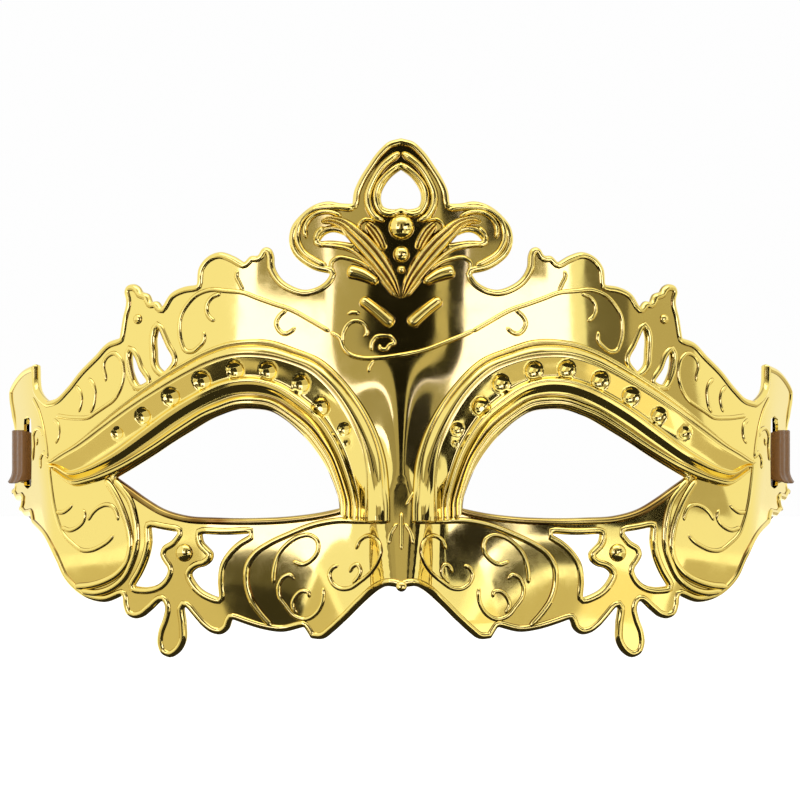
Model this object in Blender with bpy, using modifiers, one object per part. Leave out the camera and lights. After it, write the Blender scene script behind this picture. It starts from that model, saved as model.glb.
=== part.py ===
"""Venetian masquerade half mask: one thin moulded shell that wraps round the eyes and temples, and
two satin ribbons, each looped round the bar of a temple slot, knotted behind it, and rolled up in a tie.

Units are metres and +Z is up. The mask faces -Y, and the wearer's head is at +Y. The origin is on the
bridge of the nose, between the eyes, on the centre plane. Outlines are drawn in the front elevation,
as (distance from the centre plane, height) in millimetres, for the half at +X, and the shell is that
flat pattern laid on the curved surface that surface_depth describes.
"""

import bpy
import bmesh
import numpy as np
from math import cos, pi, radians, sin
from mathutils import Matrix, Vector
from mathutils.geometry import delaunay_2d_cdt

MM = 0.001
CORNER = True

# ---- Shell: driving dimensions, in millimetres ----
WALL = 1.4                     # moulded wall
WRAP_HALF_WIDTH = 100.0        # the horizontal section is a quarter of an ellipse ...
WRAP_DEPTH = 75.0              # ... this deep from the bridge of the nose to its end
WRAP_TAPER = 5.0               # its half width shrinks by up to this towards the forehead,
WRAP_TAPER_HEIGHT = 16.0       # and grows by as much towards the cheeks, over about this height
FOREHEAD_LEAN = 0.0009         # the crest leans back by this times its height squared
CHEEK_LEAN = 0.002             # the cheeks tuck in by this times the drop below CHEEK_TOP squared
CHEEK_TOP = -10.0
NOSE_TOP = 30.0                # height where the nose ridge starts
NOSE_DROP = 57.0               # and how far below that it reaches its full height
NOSE_OVERRUN = 1.15            # the rise goes on to this times that drop, and then stays level
NOSE_HEIGHT = 15.0
NOSE_GROWTH = 1.6              # power of the drop with which the nose rises
NOSE_RIDGE_WIDTH = 6.5         # a narrow ridge ...
NOSE_RIDGE_SHARE = 0.55        # ... with this share of the height, on a broader rise
NOSE_BASE_WIDTH = 16.0
TEMPLE_SLOPE = 2.75            # the temple plates are flat and upright: depth gained per unit of width
TEMPLE_START = (84.3, 34.5)    # width and depth where the plate leaves the wrap at eye level
TEMPLE_BLEND = 3.0
BAND_RISE = 1.5                # the brow band stands this far proud of the shell
BAND_EDGE = 2.0
EDGE_STEP = 2.6                # spacing of the points along outlines,
HOLE_STEP = 2.08               # round the holes,
HEART_STEP = 1.6               # round the heart in the finial
PANEL_STEP = 4.6               # and over the surface, ...
ROW_STEP = 4.002               # ... in rows this far apart
EDGE_CLEARANCE = 2.07          # least distance of a surface point from an edge
SAME_POINT = 1e-5

# ---- Ribbons: driving dimensions, in millimetres ----
RIBBON_WIDTH = 12.7
RIBBON_THICK = 0.5             # two soft layers of satin lie together in the loop and the strap
GAP = 0.3
BAR_CENTRE = (91.2, 2.0)       # width and height of the middle of the slot's rear bar
BAR_HALF_WIDTH = 5.0
KNOT_RADIUS = 4.3
KNOT_HALF_DEPTH = 3.7
KNOT_HEIGHT = 3.5
STRAP_CLEARANCE = 0.35         # between the knot and the top of the strap
ROLL_RADIUS = 7.4
ROLL_CORE = 1.6
ROLL_HEIGHT = -10.0            # height of the roll's centre against the bar's
ROLL_CLEARANCE = 0.5           # between the roll and the loop
ROLL_FACETS = 36
CORE_FACETS = 12
TIE_RADIUS = 0.45
TIE_BEND = 1.2                 # radius of the wire's corners

# ---- Outlines in the front elevation, half at +X ----
OUTER_EDGE = [
    (0.0, 75.0), (3.0, 74.1), (4.9, 72.4), (7.8, 68.5), (9.8, 65.2), (10.9, 62.5), (11.2, 59.9, CORNER),
    (13.7, 60.0), (16.7, 60.5), (19.7, 59.8), (23.1, 57.4), (25.3, 54.5), (25.8, 51.3), (24.9, 48.4),
    (22.6, 46.1), (20.0, 44.6), (16.3, 43.7, CORNER), (17.4, 42.1), (19.4, 40.8), (22.0, 40.2),
    (24.9, 41.0), (27.5, 42.8), (29.0, 45.4), (29.3, 48.3), (29.9, 49.6), (31.2, 50.1), (32.2, 49.5),
    (32.9, 48.2), (34.6, 48.1), (36.1, 46.6, CORNER), (38.8, 48.2), (41.8, 49.1), (44.9, 47.9),
    (46.7, 45.6), (47.2, 41.6, CORNER), (50.2, 41.2), (53.2, 39.8), (55.4, 36.5, CORNER), (56.7, 38.0),
    (57.9, 37.8, CORNER), (58.8, 39.7), (60.3, 40.2, CORNER), (61.0, 41.4), (62.3, 42.1), (63.8, 41.7),
    (64.4, 40.4), (64.0, 38.0), (64.8, 34.1), (65.5, 29.6, CORNER), (68.1, 28.8), (71.5, 25.6),
    (75.1, 22.2), (78.6, 18.1), (81.2, 15.8), (83.5, 15.2, CORNER), (84.8, 16.2), (85.9, 17.5),
    (86.9, 24.0, CORNER), (89.9, 22.9), (92.5, 20.6), (93.9, 18.3), (94.0, 15.4), (93.4, 12.3),
    (92.8, 9.0, CORNER), (92.7, -5.0, CORNER), (93.4, -6.6, CORNER), (92.0, -8.6, CORNER),
    (90.3, -8.1, CORNER), (91.1, -10.8, CORNER), (89.5, -12.3, CORNER), (87.7, -11.9, CORNER),
    (87.2, -14.2, CORNER),
    (83.9, -16.9), (80.9, -22.2), (78.7, -26.6), (76.4, -29.1), (73.0, -31.2), (68.9, -31.9),
    (64.6, -30.3, CORNER), (64.4, -32.7), (63.6, -34.7), (61.8, -35.6), (59.9, -35.2), (57.8, -33.6),
    (55.0, -31.6), (54.6, -32.8), (55.0, -35.1), (56.2, -38.5), (56.4, -41.4), (55.5, -43.6),
    (53.4, -44.5), (51.2, -43.3), (49.8, -41.0), (49.6, -36.8), (49.9, -32.7), (47.8, -35.0),
    (45.8, -37.2), (43.6, -38.7), (41.4, -39.0), (39.7, -37.8), (38.8, -35.5, CORNER), (35.7, -36.6),
    (31.5, -37.8), (27.3, -38.3), (22.3, -37.1, CORNER), (20.7, -39.7, CORNER), (18.1, -39.8),
    (15.5, -37.9), (12.5, -35.0), (9.2, -31.6), (6.1, -28.5), (3.7, -27.3), (1.2, -27.3), (0.0, -28.1),
]
HEART_EDGE = [
    (0.0, 58.9), (1.6, 58.6), (2.7, 58.7), (3.9, 59.1), (4.5, 60.3), (4.5, 62.0), (3.6, 64.1),
    (2.1, 66.0), (0.0, 67.6),
]
EYE = [
    (66.1, -2.8, CORNER), (62.2, -0.6), (57.2, 2.4), (52.7, 5.3), (48.3, 7.9), (42.7, 11.0),
    (36.4, 12.9), (30.4, 12.5), (24.7, 8.9), (19.9, 3.7), (16.2, -2.5), (14.4, -8.0),
    (14.2, -9.8, CORNER), (18.9, -10.8), (25.8, -11.7), (34.8, -12.1), (42.7, -12.0), (49.3, -11.6),
    (54.7, -10.1), (59.1, -7.6), (63.0, -4.9),
]
CREST_WINDOW = [
    (18.6, 51.3, CORNER), (17.6, 52.5), (16.2, 53.2), (14.6, 53.1), (13.0, 52.4), (10.7, 50.8, CORNER),
    (13.3, 51.2), (16.2, 51.5),
]
FINIAL_SLIT = [
    (62.8, 26.2, CORNER), (61.9, 24.8), (60.8, 22.0), (59.0, 19.4, CORNER), (60.7, 18.7), (62.1, 20.8),
    (62.8, 23.9),
]
BROW_SLIT = [
    (56.3, 31.6, CORNER), (55.5, 29.7), (54.4, 27.2), (53.0, 24.2), (54.8, 21.6, CORNER), (56.1, 22.8),
    (56.7, 26.6), (56.8, 29.6),
]
OUTER_CHEEK_GAP = [
    (57.9, -14.4, CORNER), (54.9, -15.0), (51.5, -15.5, CORNER), (53.0, -17.3), (55.1, -18.7),
    (55.7, -20.8), (54.9, -22.5), (53.9, -24.1), (54.5, -25.8), (56.1, -27.4), (58.4, -28.1),
    (61.8, -28.0, CORNER), (59.8, -24.7), (58.3, -21.0), (57.7, -17.8),
]
INNER_CHEEK_GAP = [
    (45.8, -15.9, CORNER), (40.4, -16.1), (34.7, -15.8, CORNER), (37.4, -17.4), (39.9, -19.8),
    (41.6, -22.6), (42.2, -26.4), (41.9, -30.4, CORNER), (43.8, -29.7), (45.8, -28.6), (47.5, -26.7),
    (48.2, -25.0), (47.1, -23.9), (44.9, -23.2), (43.4, -21.8), (43.2, -20.2), (44.3, -18.9),
    (45.5, -17.6),
]
STRAP_SLOT = [
    (89.7, 10.5, CORNER), (88.8, 11.2), (87.9, 10.5, CORNER), (87.7, 3.0), (87.8, -4.5, CORNER),
    (88.7, -5.2), (89.7, -4.5, CORNER), (89.7, 3.0),
]
HOLES = [EYE, CREST_WINDOW, FINIAL_SLIT, BROW_SLIT, OUTER_CHEEK_GAP, INNER_CHEEK_GAP, STRAP_SLOT]
BAND_LINE = [
    (82.8, 1.0, CORNER), (76.2, 5.0), (67.8, 12.2), (59.8, 18.1), (51.3, 23.4), (42.5, 27.2),
    (33.6, 28.7), (24.8, 27.9), (15.8, 23.7), (10.0, 17.6), (5.2, 9.6), (3.4, 0.2), (2.8, -12.6, CORNER),
]
BAND_CLOSING = [(14.2, -12.6), (66.1, -6.0)]    # under the eye, back to the start of the line


# ---- The surface ----
def smooth_maximum(a, b, blend):
    """The larger of a and b, with the corner where they are equal rounded over a band of width blend."""
    overlap = np.clip(1 - np.abs(a - b) / blend, 0, None)
    return np.maximum(a, b) + overlap**2 * blend / 4


def surface_depth(x, z):
    """Depth y of the outer face, in mm: an elliptic wrap with a nose ridge, running into flat temples."""
    x = np.abs(x)
    half_width = WRAP_HALF_WIDTH - WRAP_TAPER * np.tanh(z / WRAP_TAPER_HEIGHT)
    wrap = WRAP_DEPTH * (1 - np.sqrt(np.clip(1 - (x / half_width) ** 2, 0.0004, None)))
    lean = FOREHEAD_LEAN * np.clip(z, 0, None) ** 2 + CHEEK_LEAN * np.clip(CHEEK_TOP - z, 0, None) ** 2
    fall = np.clip((NOSE_TOP - z) / NOSE_DROP, 0, NOSE_OVERRUN)
    ridge = np.exp(-((x / NOSE_RIDGE_WIDTH) ** 2))
    base = np.exp(-((x / NOSE_BASE_WIDTH) ** 2))
    across = NOSE_RIDGE_SHARE * ridge + (1 - NOSE_RIDGE_SHARE) * base
    face = wrap + lean - NOSE_HEIGHT * fall**NOSE_GROWTH * across
    temple = TEMPLE_START[1] + TEMPLE_SLOPE * (x - TEMPLE_START[0])
    return smooth_maximum(face, temple, TEMPLE_BLEND)


def section_length():
    """Widths along the horizontal section through the nostrils, and the length out to each, in mm."""
    widths = np.linspace(0, WRAP_HALF_WIDTH, 1001)
    depth = surface_depth(widths, np.full_like(widths, CHEEK_TOP))
    return widths, np.concatenate([[0], np.cumsum(np.hypot(np.diff(widths), np.diff(depth)))])


def unrolled(points):
    """Points of the elevation, with the width replaced by the length along the section."""
    return np.column_stack([np.interp(points[:, 0], *section_length()), points[:, 1]])


def rolled_back(points):
    """The elevation points that unrolled turned into these."""
    widths, lengths = section_length()
    return np.column_stack([np.interp(points[:, 0], lengths, widths), points[:, 1]])


# ---- Lines and the flat pattern ----
def smooth_line(points, closed, step):
    """Points about a step apart on a cubic line through the given ones, with a break at each CORNER."""
    places = np.array([point[:2] for point in points], float)
    sharp = [len(point) > 2 for point in points]
    count = len(points)

    def tangent(i):
        if not closed and i in (0, count - 1):
            return None
        before = places[i] - places[i - 1]
        after = places[(i + 1) % count] - places[i]
        first, second = np.linalg.norm(before), np.linalg.norm(after)
        return (before / first * second + after / second * first) / (first + second)

    line = []
    for i in range(count if closed else count - 1):
        j = (i + 1) % count
        chord = places[j] - places[i]
        length = np.linalg.norm(chord)
        leave = None if sharp[i] else tangent(i)
        arrive = None if sharp[j] else tangent(j)
        leave = chord / length if leave is None else leave
        arrive = chord / length if arrive is None else arrive
        t = np.linspace(0, 1, max(1, round(length / step)), endpoint=False)[:, None]
        line.append(
            (2 * t**3 - 3 * t**2 + 1) * places[i]
            + (t**3 - 2 * t**2 + t) * length * leave
            + (3 * t**2 - 2 * t**3) * places[j]
            + (t**3 - t**2) * length * arrive
        )
    if not closed:
        line.append(places[-1:])
    return np.concatenate(line)


def is_inside(points, loop):
    """Whether each point is inside a closed loop, by counting the edges that it has to its right."""
    start, end = loop, np.roll(loop, -1, axis=0)
    x, z = points[:, :1], points[:, 1:]
    crosses = (start[:, 1] > z) != (end[:, 1] > z)
    rise = np.where(end[:, 1] == start[:, 1], 1e-9, end[:, 1] - start[:, 1])
    where = start[:, 0] + (z - start[:, 1]) * (end[:, 0] - start[:, 0]) / rise
    return (crosses & (x < where)).sum(axis=1) % 2 == 1


def distance_to(points, line):
    """Distance from each point to the nearest piece of a line."""
    start, along = line[:-1], np.diff(line, axis=0)
    from_start = points[:, None] - start
    share = (from_start * along).sum(2) / (along**2).sum(1)
    nearest = from_start - np.clip(share, 0, 1)[..., None] * along
    return np.linalg.norm(nearest, axis=2).min(axis=1)


def band_rise(points):
    """How far the brow band lifts the shell: all of BAND_RISE inside its line, fading out over its edge."""
    line = smooth_line(BAND_LINE, False, EDGE_STEP)
    closed = np.vstack([line, BAND_CLOSING])
    inside = is_inside(points, closed)
    share = np.clip(distance_to(points, line) / BAND_EDGE, 0, 1) * inside
    return BAND_RISE * share * share * (3 - 2 * share)


def centre_line(low, high):
    """Points up the centre plane from low to high, both ends left out."""
    count = round((high - low) / PANEL_STEP)
    return np.column_stack([np.zeros(count - 1), np.linspace(low, high, count + 1)[1:-1]])


def half_outline():
    """The closed edge of the half pattern: the outer edge, and the centre plane broken by the heart."""
    outer = smooth_line(OUTER_EDGE, False, EDGE_STEP)
    heart = smooth_line(HEART_EDGE, False, HEART_STEP)
    below = centre_line(OUTER_EDGE[-1][1], HEART_EDGE[0][1])
    above = centre_line(HEART_EDGE[-1][1], OUTER_EDGE[0][1])
    return np.concatenate([outer, below, heart, above])


def clear_lattice(loops, band):
    """A triangular lattice over the unrolled pattern, clear of its edges, its holes and the band's line."""
    outline, holes = loops[0], loops[1:]
    lowest, highest = outline[:, 1].min(), outline[:, 1].max()
    rows = np.arange(lowest, highest, ROW_STEP)
    columns = np.arange(PANEL_STEP / 2, outline[:, 0].max(), PANEL_STEP)
    lattice = np.array([(s + PANEL_STEP / 2 * (i % 2), z) for i, z in enumerate(rows) for s in columns])
    lattice = lattice[is_inside(lattice, outline)]
    for hole in holes:
        lattice = lattice[~is_inside(lattice, hole)]
    for fence in [*[np.vstack([loop, loop[:1]]) for loop in loops], band]:
        lattice = lattice[distance_to(lattice, fence) > EDGE_CLEARANCE]
    return lattice


def flat_pattern():
    """Points of the half pattern in the elevation, and its triangles, meshed evenly when unrolled."""
    holes = [smooth_line(hole, True, HOLE_STEP) for hole in HOLES]
    loops = [unrolled(loop) for loop in [half_outline(), *holes]]
    band = unrolled(smooth_line(BAND_LINE[1:-1], False, PANEL_STEP))
    edges = []
    first = 0
    for loop in loops:
        edges += [(first + i, first + (i + 1) % len(loop)) for i in range(len(loop))]
        first += len(loop)
    points = np.concatenate([*loops, band, clear_lattice(loops, band)])
    result = delaunay_2d_cdt([Vector(point) for point in points], edges, [], 1, SAME_POINT)
    points = np.array([tuple(point) for point in result[0]])
    triangles = np.array(result[2])
    middle = points[triangles].mean(axis=1)
    kept = is_inside(middle, loops[0])
    for hole in loops[1:]:
        kept &= ~is_inside(middle, hole)
    return rolled_back(points), triangles[kept]


# ---- Blender objects ----
def collection_named(name):
    collection = bpy.data.collections.new(name)
    bpy.context.scene.collection.children.link(collection)
    return collection


def principled(name, colour, roughness, metallic):
    material = bpy.data.materials.new(name)
    material.use_nodes = True
    shader = material.node_tree.nodes["Principled BSDF"]
    shader.inputs["Base Color"].default_value = (*colour, 1)
    shader.inputs["Roughness"].default_value = roughness
    shader.inputs["Metallic"].default_value = metallic
    return material


def place(obj, collection, material, parent=None):
    """Moves a new object into the part's collection, gives it its material and hangs it on its parent."""
    for owner in obj.users_collection:
        owner.objects.unlink(obj)
    collection.objects.link(obj)
    obj.data.materials.clear()
    obj.data.materials.append(material)
    obj.parent = parent
    return obj


def make_shell(collection, material):
    """The shell: its half pattern on the surface, mirrored at the centre plane and given its wall."""
    points, triangles = flat_pattern()
    depth = surface_depth(points[:, 0], points[:, 1]) - band_rise(points)
    middle_plane = points[:, 0] < 0.01
    points[middle_plane, 0] = 0.0
    places = np.column_stack([points[:, 0], depth, points[:, 1]]) * MM
    mesh = bpy.data.meshes.new("mask_shell")
    mesh.from_pydata(places.tolist(), [], triangles.tolist())
    work = bmesh.new()
    work.from_mesh(mesh)
    loose = [vertex for vertex in work.verts if not vertex.link_faces]
    bmesh.ops.delete(work, geom=loose, context="VERTS")
    for face in work.faces:
        if face.normal.y > 0:
            face.normal_flip()
    work.to_mesh(mesh)
    work.free()
    shell = bpy.data.objects.new("mask_shell", mesh)
    place(shell, collection, material)
    mirror = shell.modifiers.new("both halves", "MIRROR")
    mirror.merge_threshold = 0.00005
    wall = shell.modifiers.new("wall", "SOLIDIFY")
    wall.thickness = WALL * MM
    wall.offset = -1
    mesh.shade_smooth()
    return shell


def temple_frame(side):
    """Axes at the middle of a slot's bar: X out of the plate, Y along it, Z up it, in the wall's middle."""
    outward = Vector((side * TEMPLE_SLOPE, -1, 0)).normalized()
    along = Vector((1, side * TEMPLE_SLOPE, 0)).normalized()
    up = outward.cross(along)
    x, z = BAR_CENTRE
    y = TEMPLE_START[1] + TEMPLE_SLOPE * (x - TEMPLE_START[0])
    centre = Vector((side * x, y, z)) - outward * WALL / 2
    axes = Matrix((outward, along, up)).transposed().to_4x4()
    return Matrix.Translation(centre * MM) @ axes


def rounded_bar(half_length, half_width, steps=6):
    """A flat loop with round ends along Y: half_length counts its straight part only."""
    angles = [pi * i / steps for i in range(steps + 1)]
    far = [(half_width * cos(a), half_length + half_width * sin(a)) for a in angles]
    return far + [(-x, -y) for x, y in far]


def circle(radius, count):
    return [(radius * cos(2 * pi * i / count), radius * sin(2 * pi * i / count)) for i in range(count)]


def flat_curve(name, outlines, half_height):
    """A prism on the XY plane whose section is one outline, or the ring between two."""
    curve = bpy.data.curves.new(name, "CURVE")
    curve.dimensions = "2D"
    curve.fill_mode = "BOTH"
    curve.extrude = half_height * MM
    for outline in outlines:
        spline = curve.splines.new("POLY")
        spline.points.add(len(outline) - 1)
        for point, (x, y) in zip(spline.points, outline):
            point.co = (x * MM, y * MM, 0, 1)
        spline.use_cyclic_u = True
    return bpy.data.objects.new(name, curve)


def wire_curve(name, route, radius):
    """A closed loop of round wire along a route."""
    curve = bpy.data.curves.new(name, "CURVE")
    curve.dimensions = "3D"
    curve.bevel_depth = radius * MM
    curve.bevel_resolution = 2
    curve.twist_mode = "Z_UP"
    spline = curve.splines.new("POLY")
    spline.points.add(len(route) - 1)
    for point, place_mm in zip(spline.points, route):
        point.co = (*(Vector(place_mm) * MM), 1)
    spline.use_cyclic_u = True
    return bpy.data.objects.new(name, curve)


def make_loop(name):
    """The ribbon where it goes round the bar of the slot: a band with the bar inside it."""
    inner = WALL / 2 + GAP
    straight = BAR_HALF_WIDTH - WALL / 2
    ring = [rounded_bar(straight, inner + RIBBON_THICK), rounded_bar(straight, inner)]
    return flat_curve(name, ring, RIBBON_WIDTH / 2)


def make_knot(name):
    bpy.ops.mesh.primitive_uv_sphere_add(segments=16, ring_count=10, radius=KNOT_RADIUS * MM)
    knot = bpy.context.object
    knot.name = knot.data.name = name
    knot.data.transform(Matrix.Diagonal((KNOT_HALF_DEPTH / KNOT_RADIUS, 1, 1, 1)))
    return knot


def roll_centre():
    """Where the roll hangs against the hinge in the knot: (outward, upward)."""
    outward = -(WALL / 2 + GAP + RIBBON_THICK + ROLL_CLEARANCE + ROLL_RADIUS) - knot_centre()[0]
    return outward, ROLL_HEIGHT - KNOT_HEIGHT


def knot_centre():
    return -(WALL / 2 + 2 * GAP + RIBBON_THICK + KNOT_HALF_DEPTH), KNOT_HEIGHT


def make_strap(name):
    """The short free run of ribbon, from under the knot to where it meets the roll at a tangent."""
    out, up = roll_centre()
    start = Vector((0.0, -(KNOT_RADIUS + STRAP_CLEARANCE)))
    middle = Vector((out, up))
    reach = start - middle
    radius = ROLL_RADIUS + GAP + RIBBON_THICK / 2
    turn = np.arctan2(reach.y, reach.x) - np.arccos(radius / reach.length)
    end = middle + Vector((cos(turn), sin(turn))) * radius
    run = (end - start).normalized()
    side = Vector((-run.y, run.x)) * RIBBON_THICK / 2
    corners = [start + side, end + side, end - side, start - side]
    strap = flat_curve(name, [[tuple(corner) for corner in corners]], RIBBON_WIDTH / 2)
    strap.rotation_euler = (radians(90), 0, 0)
    return strap


def make_roll(name):
    """The rest of the ribbon, rolled up on itself round an open core, its axis across the strap."""
    section = [circle(ROLL_RADIUS, ROLL_FACETS), circle(ROLL_CORE, CORE_FACETS)]
    roll = flat_curve(name, section, RIBBON_WIDTH / 2)
    out, up = roll_centre()
    roll.location = (out * MM, 0, up * MM)
    roll.rotation_euler = (radians(90), 0, 0)
    return roll


def make_tie(name):
    """A twist of wire through the roll's core and round its rim, which keeps it from unrolling."""
    half = RIBBON_WIDTH / 2 + GAP + TIE_RADIUS
    low = -(ROLL_RADIUS + GAP + TIE_RADIUS)
    route = []
    for y, z, first in ((half, 0, 0), (-half, 0, 90), (-half, low, 180), (half, low, 270)):
        centre = Vector((0, y - TIE_BEND * np.sign(y), z - TIE_BEND if z == 0 else z + TIE_BEND))
        for step in range(4):
            angle = radians(first + step * 30)
            route.append(centre + Vector((0, TIE_BEND * cos(angle), TIE_BEND * sin(angle))))
    tie = wire_curve(name, route, TIE_RADIUS)
    out, up = roll_centre()
    tie.location = (out * MM, 0, up * MM)
    return tie


def make_ribbon(side_name, side, collection, satin, wire):
    """One ribbon on its temple: the loop and the knot stay on the mask, and the rest swings from the knot."""
    frame = bpy.data.objects.new(side_name + "_temple", None)
    hinge = bpy.data.objects.new(side_name + "_tail_hinge", None)
    collection.objects.link(frame)
    collection.objects.link(hinge)
    frame.matrix_world = temple_frame(side)
    hinge.parent = frame
    knot_out, knot_up = knot_centre()
    hinge.location = (knot_out * MM, 0, knot_up * MM)
    place(make_loop(side_name + "_ribbon_loop"), collection, satin, frame)
    place(make_knot(side_name + "_ribbon_knot"), collection, satin, hinge)
    place(make_strap(side_name + "_ribbon_strap"), collection, satin, hinge)
    place(make_roll(side_name + "_ribbon_roll"), collection, satin, hinge)
    place(make_tie(side_name + "_roll_tie"), collection, wire, hinge)


def main():
    for obj in list(bpy.data.objects):
        bpy.data.objects.remove(obj)
    mask = collection_named("venetian_mask")
    gold = principled("gold_plated_plastic", (0.83, 0.62, 0.16), 0.16, 1.0)
    satin = principled("bronze_satin_ribbon", (0.26, 0.13, 0.03), 0.45, 0.0)
    wire = principled("gold_twist_wire", (0.70, 0.52, 0.18), 0.35, 0.6)
    make_shell(mask, gold)
    make_ribbon("left", -1, mask, satin, wire)
    make_ribbon("right", 1, mask, satin, wire)


main()
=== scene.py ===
# %% [markdown]
# Venetian half mask in gold-plated plastic, with a satin ribbon on each temple.
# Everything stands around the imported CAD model, which fixes the sizes and the two ribbon hinges.
# All design numbers are millimetres in the front elevation, x to the side and z up, and become
# metres when a mesh is made.

# %% Load the frame
import bpy
import numpy as np
from mathutils import Matrix, Vector
from mathutils.geometry import delaunay_2d_cdt


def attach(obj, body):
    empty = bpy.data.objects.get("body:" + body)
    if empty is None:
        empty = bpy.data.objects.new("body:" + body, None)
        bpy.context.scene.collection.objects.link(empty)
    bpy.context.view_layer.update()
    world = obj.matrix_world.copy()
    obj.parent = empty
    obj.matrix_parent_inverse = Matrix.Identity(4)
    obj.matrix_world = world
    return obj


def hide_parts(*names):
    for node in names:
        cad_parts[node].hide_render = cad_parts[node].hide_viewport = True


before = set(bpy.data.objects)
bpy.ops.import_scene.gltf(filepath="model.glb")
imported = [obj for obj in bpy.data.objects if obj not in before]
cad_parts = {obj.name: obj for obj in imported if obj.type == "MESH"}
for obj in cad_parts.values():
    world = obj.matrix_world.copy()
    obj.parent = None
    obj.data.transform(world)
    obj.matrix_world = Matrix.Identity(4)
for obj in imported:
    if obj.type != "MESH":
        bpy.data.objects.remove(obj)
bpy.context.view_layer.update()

MM = 0.001

# %% [markdown]
# The camera looks straight at the mask from the front. It stands about a metre away and has a long
# lens, so that the temples don't shrink. The lens is shifted a little, not tilted, which keeps the
# bridge of the nose upright.

# %% Camera
CAMERA_DISTANCE = 1.1
VIEW_WIDTH = 0.1824                 # width seen at the bridge of the nose
SENSOR = 36
SHIFT = (-0.00125, 0.08125)         # in widths of the frame


def placed(name, data):
    """An object that holds the data, linked into the scene at the origin."""
    obj = bpy.data.objects.new(name, data)
    bpy.context.scene.collection.objects.link(obj)
    return obj


camera = placed("camera", bpy.data.cameras.new("camera"))
camera.location = (0, -CAMERA_DISTANCE, 0)
camera.rotation_euler = (np.pi / 2, 0, 0)
camera.data.sensor_width = SENSOR
camera.data.lens = SENSOR * CAMERA_DISTANCE / VIEW_WIDTH
camera.data.shift_x, camera.data.shift_y = SHIFT
bpy.context.scene.camera = camera
print("lens", round(camera.data.lens, 1), "mm")

# %% [markdown]
# Materials are made of shader nodes. One helper makes a node and joins it up in the same call, which
# keeps each material below as short as its description.

# %% Shader nodes
def node_material(name):
    """A material with its Principled shader, both to be filled in by the caller."""
    material = bpy.data.materials.new(name)
    material.use_nodes = True
    return material, material.node_tree, material.node_tree.nodes["Principled BSDF"]


def node(tree, kind, inputs=(), **settings):
    """One shader node; inputs maps a socket's name or place to a value, or to the output that feeds it."""
    made = tree.nodes.new("ShaderNode" + kind)
    for key, value in settings.items():
        setattr(made, key, value)
    for key, value in dict(inputs).items():
        if isinstance(value, bpy.types.NodeSocket):
            tree.links.new(value, made.inputs[key])
        else:
            made.inputs[key].default_value = value
    return made


print("shader helpers:", node_material.__name__, node.__name__)

# %% [markdown]
# Plated plastic is a mirror, so the mask looks like whatever stands round it. A studio
# lights such things with white softboxes and hides the rest behind black cards. The cards give the
# brown and black that make the relief readable. Only reflections see the softboxes and the cards,
# so a view from any side shows a plain white studio.

# %% Softboxes and cards
FLOOR_HEIGHT = -0.11
COOL = (0.52, 0.50, 1.0)            # yellow metal shows it as cream
TINT = (1, 0.90, 0.70)              # the cards' warm grey
CURVE_POINTS = 12                   # in the arc of a card or a mat


def softbox(name, place, size, power, colour=(1, 1, 1), target=(0, 0.03, 0.01)):
    """A rectangular lamp of size (width, height) at place, facing target."""
    lamp = bpy.data.lights.new(name, "AREA")
    lamp.color = colour
    lamp.shape = "RECTANGLE"
    lamp.size, lamp.size_y = size
    lamp.energy = power
    obj = placed(name, lamp)
    obj.location = place
    obj.rotation_euler = (Vector(target) - Vector(place)).to_track_quat("-Z", "Y").to_euler()
    obj.visible_camera = False


def flag(name, corners, grey):
    """A flat card through the corners, seen only in reflections, with a dim even glow."""
    mesh = bpy.data.meshes.new(name)
    mesh.from_pydata(corners, [], [tuple(range(len(corners)))])
    material, tree, _ = node_material(name)
    tree.nodes.clear()
    glow = node(tree, "Emission", {"Color": (*np.multiply(TINT, grey), 1)})
    node(tree, "OutputMaterial", {"Surface": glow.outputs[0]})
    mesh.materials.append(material)
    obj = placed(name, mesh)
    obj.visible_camera = obj.visible_diffuse = obj.visible_shadow = False


def upright(name, ends, heights, grey):
    """An upright card between two places on the plan and two heights."""
    (a, b), (low, high) = ends, heights
    flag(name, [(*a, low), (*b, low), (*b, high), (*a, high)], grey)


def arc(bearings):
    """Directions on the plan, evenly between two bearings in degrees from straight ahead."""
    turn = np.radians(np.linspace(*bearings, CURVE_POINTS))
    return np.column_stack([np.sin(turn), -np.cos(turn)])


# name, place, size, watts, colour
for row in [
    ("softbox_left", (-0.80, -1.45, 0.30), (0.70, 0.95), 6.0, COOL),
    ("softbox_right", (0.80, -1.45, 0.22), (0.78, 1.15), 8.0, COOL),
    ("softbox_top", (0, -0.5, 1.7), (2.0, 0.8), 9),
]:
    softbox(*row)

# Curved cards round the mask. name, bearings and heights in degrees, distance, grey
for name, bearings, heights, distance, grey in [
    ("card_camera", (-7.5, 7.5), (-3.3, 34.5), 1.75, 0.01),
    ("card_nose", (-9, 11), (34.5, 47), 1.7, 0.5),
    ("card_left_grey", (-19, -7.5), (-3.2, 45), 1.8, 0.42),
    ("card_left_high", (-36, -19), (10.8, 45), 1.55, 0.34),
    ("card_right_grey", (7.5, 11), (-3.2, 45), 1.8, 0.55),
    ("card_right_strip", (11, 16), (-3, 45), 1.82, 0.03),
    ("card_right_high", (16, 36), (11.2, 45), 1.55, 0.34),
    ("card_right_dark", (20, 70), (15.5, 33), 1.5, 0.02),
    ("card_right_lobe", (47, 59), (5, 14), 1.5, 0.16),
    ("card_right_temple", (59, 84), (5, 14), 1.5, 0.50),
]:
    edge, levels = arc(bearings) * distance, np.tan(np.radians(heights)) * distance
    for i in range(len(edge) - 1):
        upright(f"{name}_{i}", edge[i:i + 2], levels, grey)

# Two small dark cards close to the right cheek
upright("flag_right_1", [(0.147, -0.214), (0.196, -0.167)], (-0.028, 0.014), 0.02)
upright("flag_right_2", [(0.196, -0.157), (0.242, -0.084)], (-0.010, 0.030), 0.02)

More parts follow.
